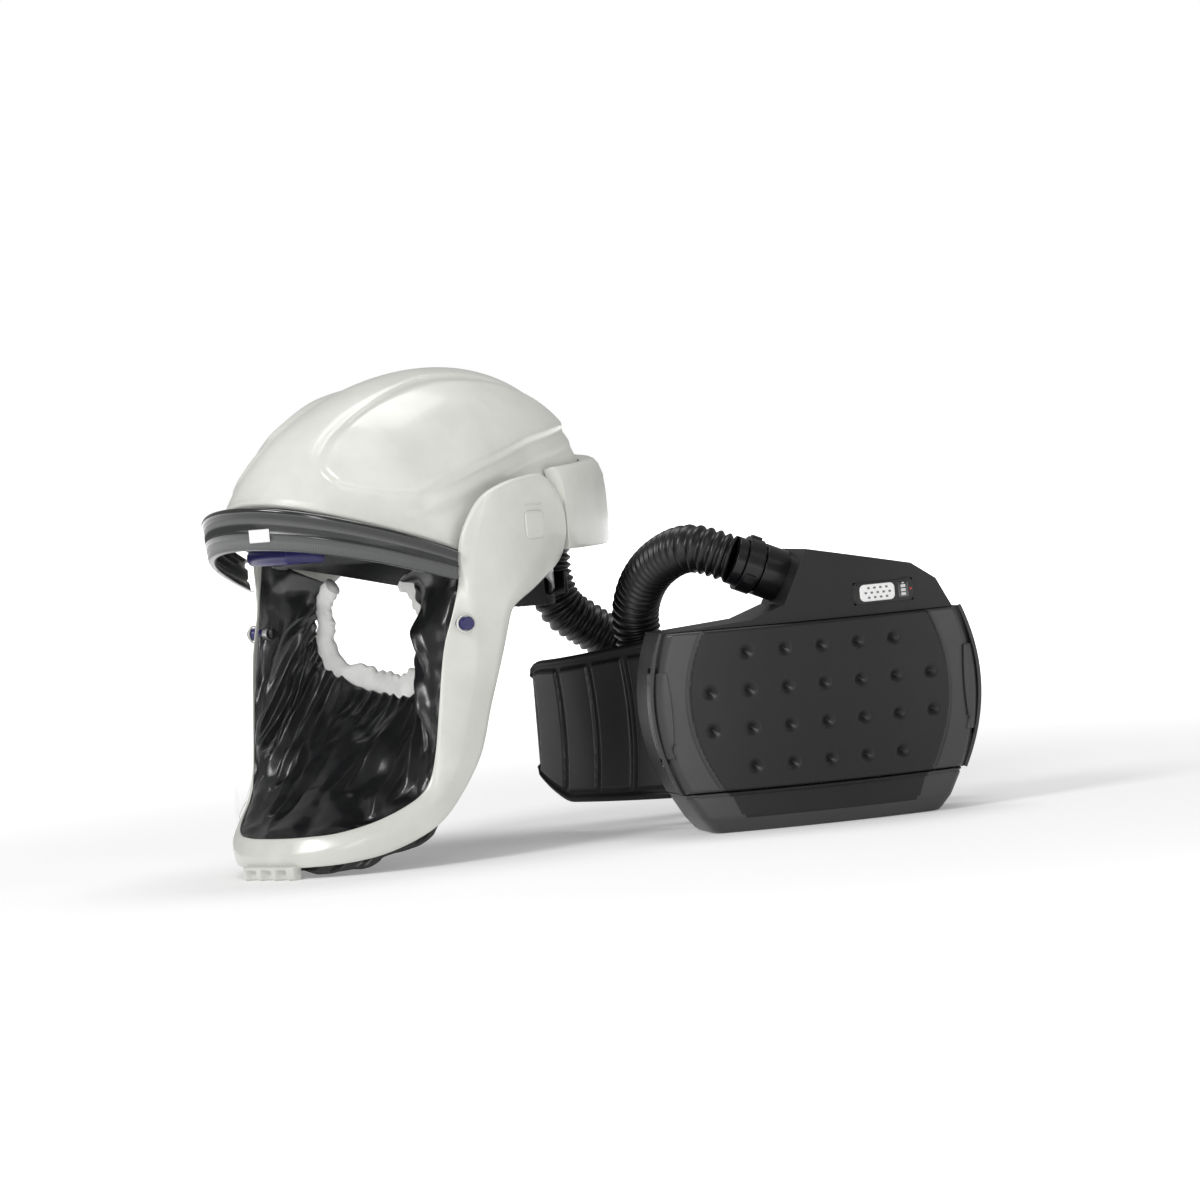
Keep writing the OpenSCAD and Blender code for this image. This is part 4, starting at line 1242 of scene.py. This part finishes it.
def make_cushion():
    """The pad's cushion: two skins that pull together at the edge and at its seams."""
    cols, rows = 120, 36
    first, last = math.radians(-69), math.radians(41)
    outer, inner = [], []
    for i in range(rows + 1):
        share = i / rows
        row_out, row_in = [], []
        for j in range(cols + 1):
            turn = first + (last - first) * j / cols
            low, high = pad_ends(turn)
            low, high = low + 4, high - 4
            edge = min(share * 3, (1 - share) * 3, j / cols * 9, (cols - j) / cols * 9)
            swell = math.sqrt(max(0.0, 1 - max(0.0, 1 - edge) ** 2))
            seam = min(abs(share - 0.33), abs(share - 0.67))
            swell *= 1 - 0.55 * math.exp(-(seam / 0.018) ** 2)
            z = low + (high - low) * share
            row_out.append(pad_point(turn, 163.4, z))
            row_in.append(pad_point(turn, 162.6 - 4.6 * swell, z))
        outer.append(row_out)
        inner.append(row_in)
    points = [p for row in outer + inner for p in row]
    across = cols + 1
    total = (rows + 1) * across
    faces = grid_faces(rows + 1, across)
    faces += [tuple(reversed([i + total for i in f])) for f in grid_faces(rows + 1, across)]
    rim = list(range(across)) + [r * across + cols for r in range(1, rows + 1)]
    rim += [rows * across + c for c in range(cols - 1, -1, -1)]
    rim += [r * across for r in range(rows - 1, 0, -1)]
    faces += [(a, a + total, b + total, b) for a, b in zip(rim, rim[1:] + rim[:1])]
    cushion = solid("cushion_cloth", points, faces, ["black_foam"], "root")
    face_out(cushion)
    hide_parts("pad_cushion")


# ----------------------------------------------------------------- CAD nodes kept
KEPT = {
    "black_plastic": [
        "pivot_mounts", "air_duct", "hose_inlet", "harness_clips", "nape_housing",
        "ratchet_knob", "band_tail_left", "band_tail_right", "hose_connector", "locking_collar",
        "outlet_socket", "fan_scroll", "headband",
    ],
    "dark_plastic": ["rear_housing", "front_housing", "belt_carrier", "battery_latch"],
    "black_foam": ["sweatband"],
    "black_webbing": ["crown_straps"],
    "white_plastic": ["impeller"],
    "steel": [
        "button_springs", "housing_screws", "fan_motor", "motor_bearings", "motor_shaft",
        "spark_arrestor", "latch_pins",
    ],
    "black_rubber": ["connector_seal", "filter_seal"],
    "board_green": ["circuit_board"],
    "red_lens": ["warning_light"],
    "filter_fleece": ["prefilter", "particle_filter"],
    "cell_sleeve": ["battery_cells"],
    "brass": ["battery_contacts"],
}
EDGE_WIDTH = {"rear_housing": 1.6, "front_housing": 1.6, "headband": 0.6, "locking_collar": 0.8}


def make_harness_front():
    """The purple front of the harness, over the middle of the headband."""
    rows = []
    for inset, up in ((-18, -9.5), (-22, -8), (-24, -4), (-22, 2), (-12, 3.5), (2, 4)):
        row = []
        for j in range(61):
            turn = math.radians(-52 + 66 * j / 60)
            end = min(1.0, min(j, 60 - j) / 9)
            forward = 8 + (104 - inset * end) * math.cos(turn)
            left = (82 - inset * end * 0.5) * math.sin(turn)
            row.append(helmet(forward, left, 214 + up))
        rows.append(row)
    front = sheet_of("harness_front", rows, ["purple_plastic"], "root")
    wall(front, 2.2)
    subdivided(front, 1)


def keep_nodes():
    for material, nodes in KEPT.items():
        for node in nodes:
            refine(node, material, EDGE_WIDTH.get(node, 0.35))


def make_floor():
    """A pale floor that fades evenly into the white surroundings."""
    size = 12.0
    mesh = bpy.data.meshes.new("floor")
    corners = [(-size, -size, 0), (size, -size, 0), (size, size, 0), (-size, size, 0)]
    mesh.from_pydata(corners, [], [(0, 1, 2, 3)])
    floor = bpy.data.objects.new("floor", mesh)
    bpy.context.scene.collection.objects.link(floor)
    material = new_material("floor", (0.86, 0.86, 0.86), 0.7)
    grain = place_texture(material, 60, Detail=4.0)
    bump(material, grain, 0.0002, 0.2)
    shader = material.node_tree.nodes["Principled BSDF"]
    shader.inputs["Emission Color"].default_value = (1, 1, 1, 1)
    coords = add_node(material, "ShaderNodeTexCoord")
    length = add_node(material, "ShaderNodeVectorMath", operation="LENGTH")
    link(material, coords.outputs["Object"], length.inputs[0])
    fade = add_node(material, "ShaderNodeMapRange", interpolation_type="SMOOTHSTEP")
    link(material, length.outputs["Value"], fade.inputs["Value"])
    fade.inputs["From Min"].default_value = 0.35
    fade.inputs["From Max"].default_value = 2.5
    fade.inputs["To Min"].default_value = 0.2
    fade.inputs["To Max"].default_value = 1.6
    link(material, fade.outputs["Result"], shader.inputs["Emission Strength"])
    mesh.materials.append(material)


make_camera()
MATERIALS = make_materials()
make_hose()
make_studio()
make_floor()
keep_nodes()
make_harness_front()
make_shell()
make_rear_cover()
make_visor_frame()
make_visor()
make_brow_band()
make_brow_label()
make_badges()
make_button("button_left", 1)
make_button("button_right", -1)
skirt = make_face_seal()
elastic = make_seal_edge()
hem = make_seal_hem()
# The skirt and its elastic get meshes of their own.
for cloth in (skirt, elastic):
    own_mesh(cloth)
make_filter_cover()
make_latches()
make_battery()
make_control_panel()
make_pad()
make_cushion()
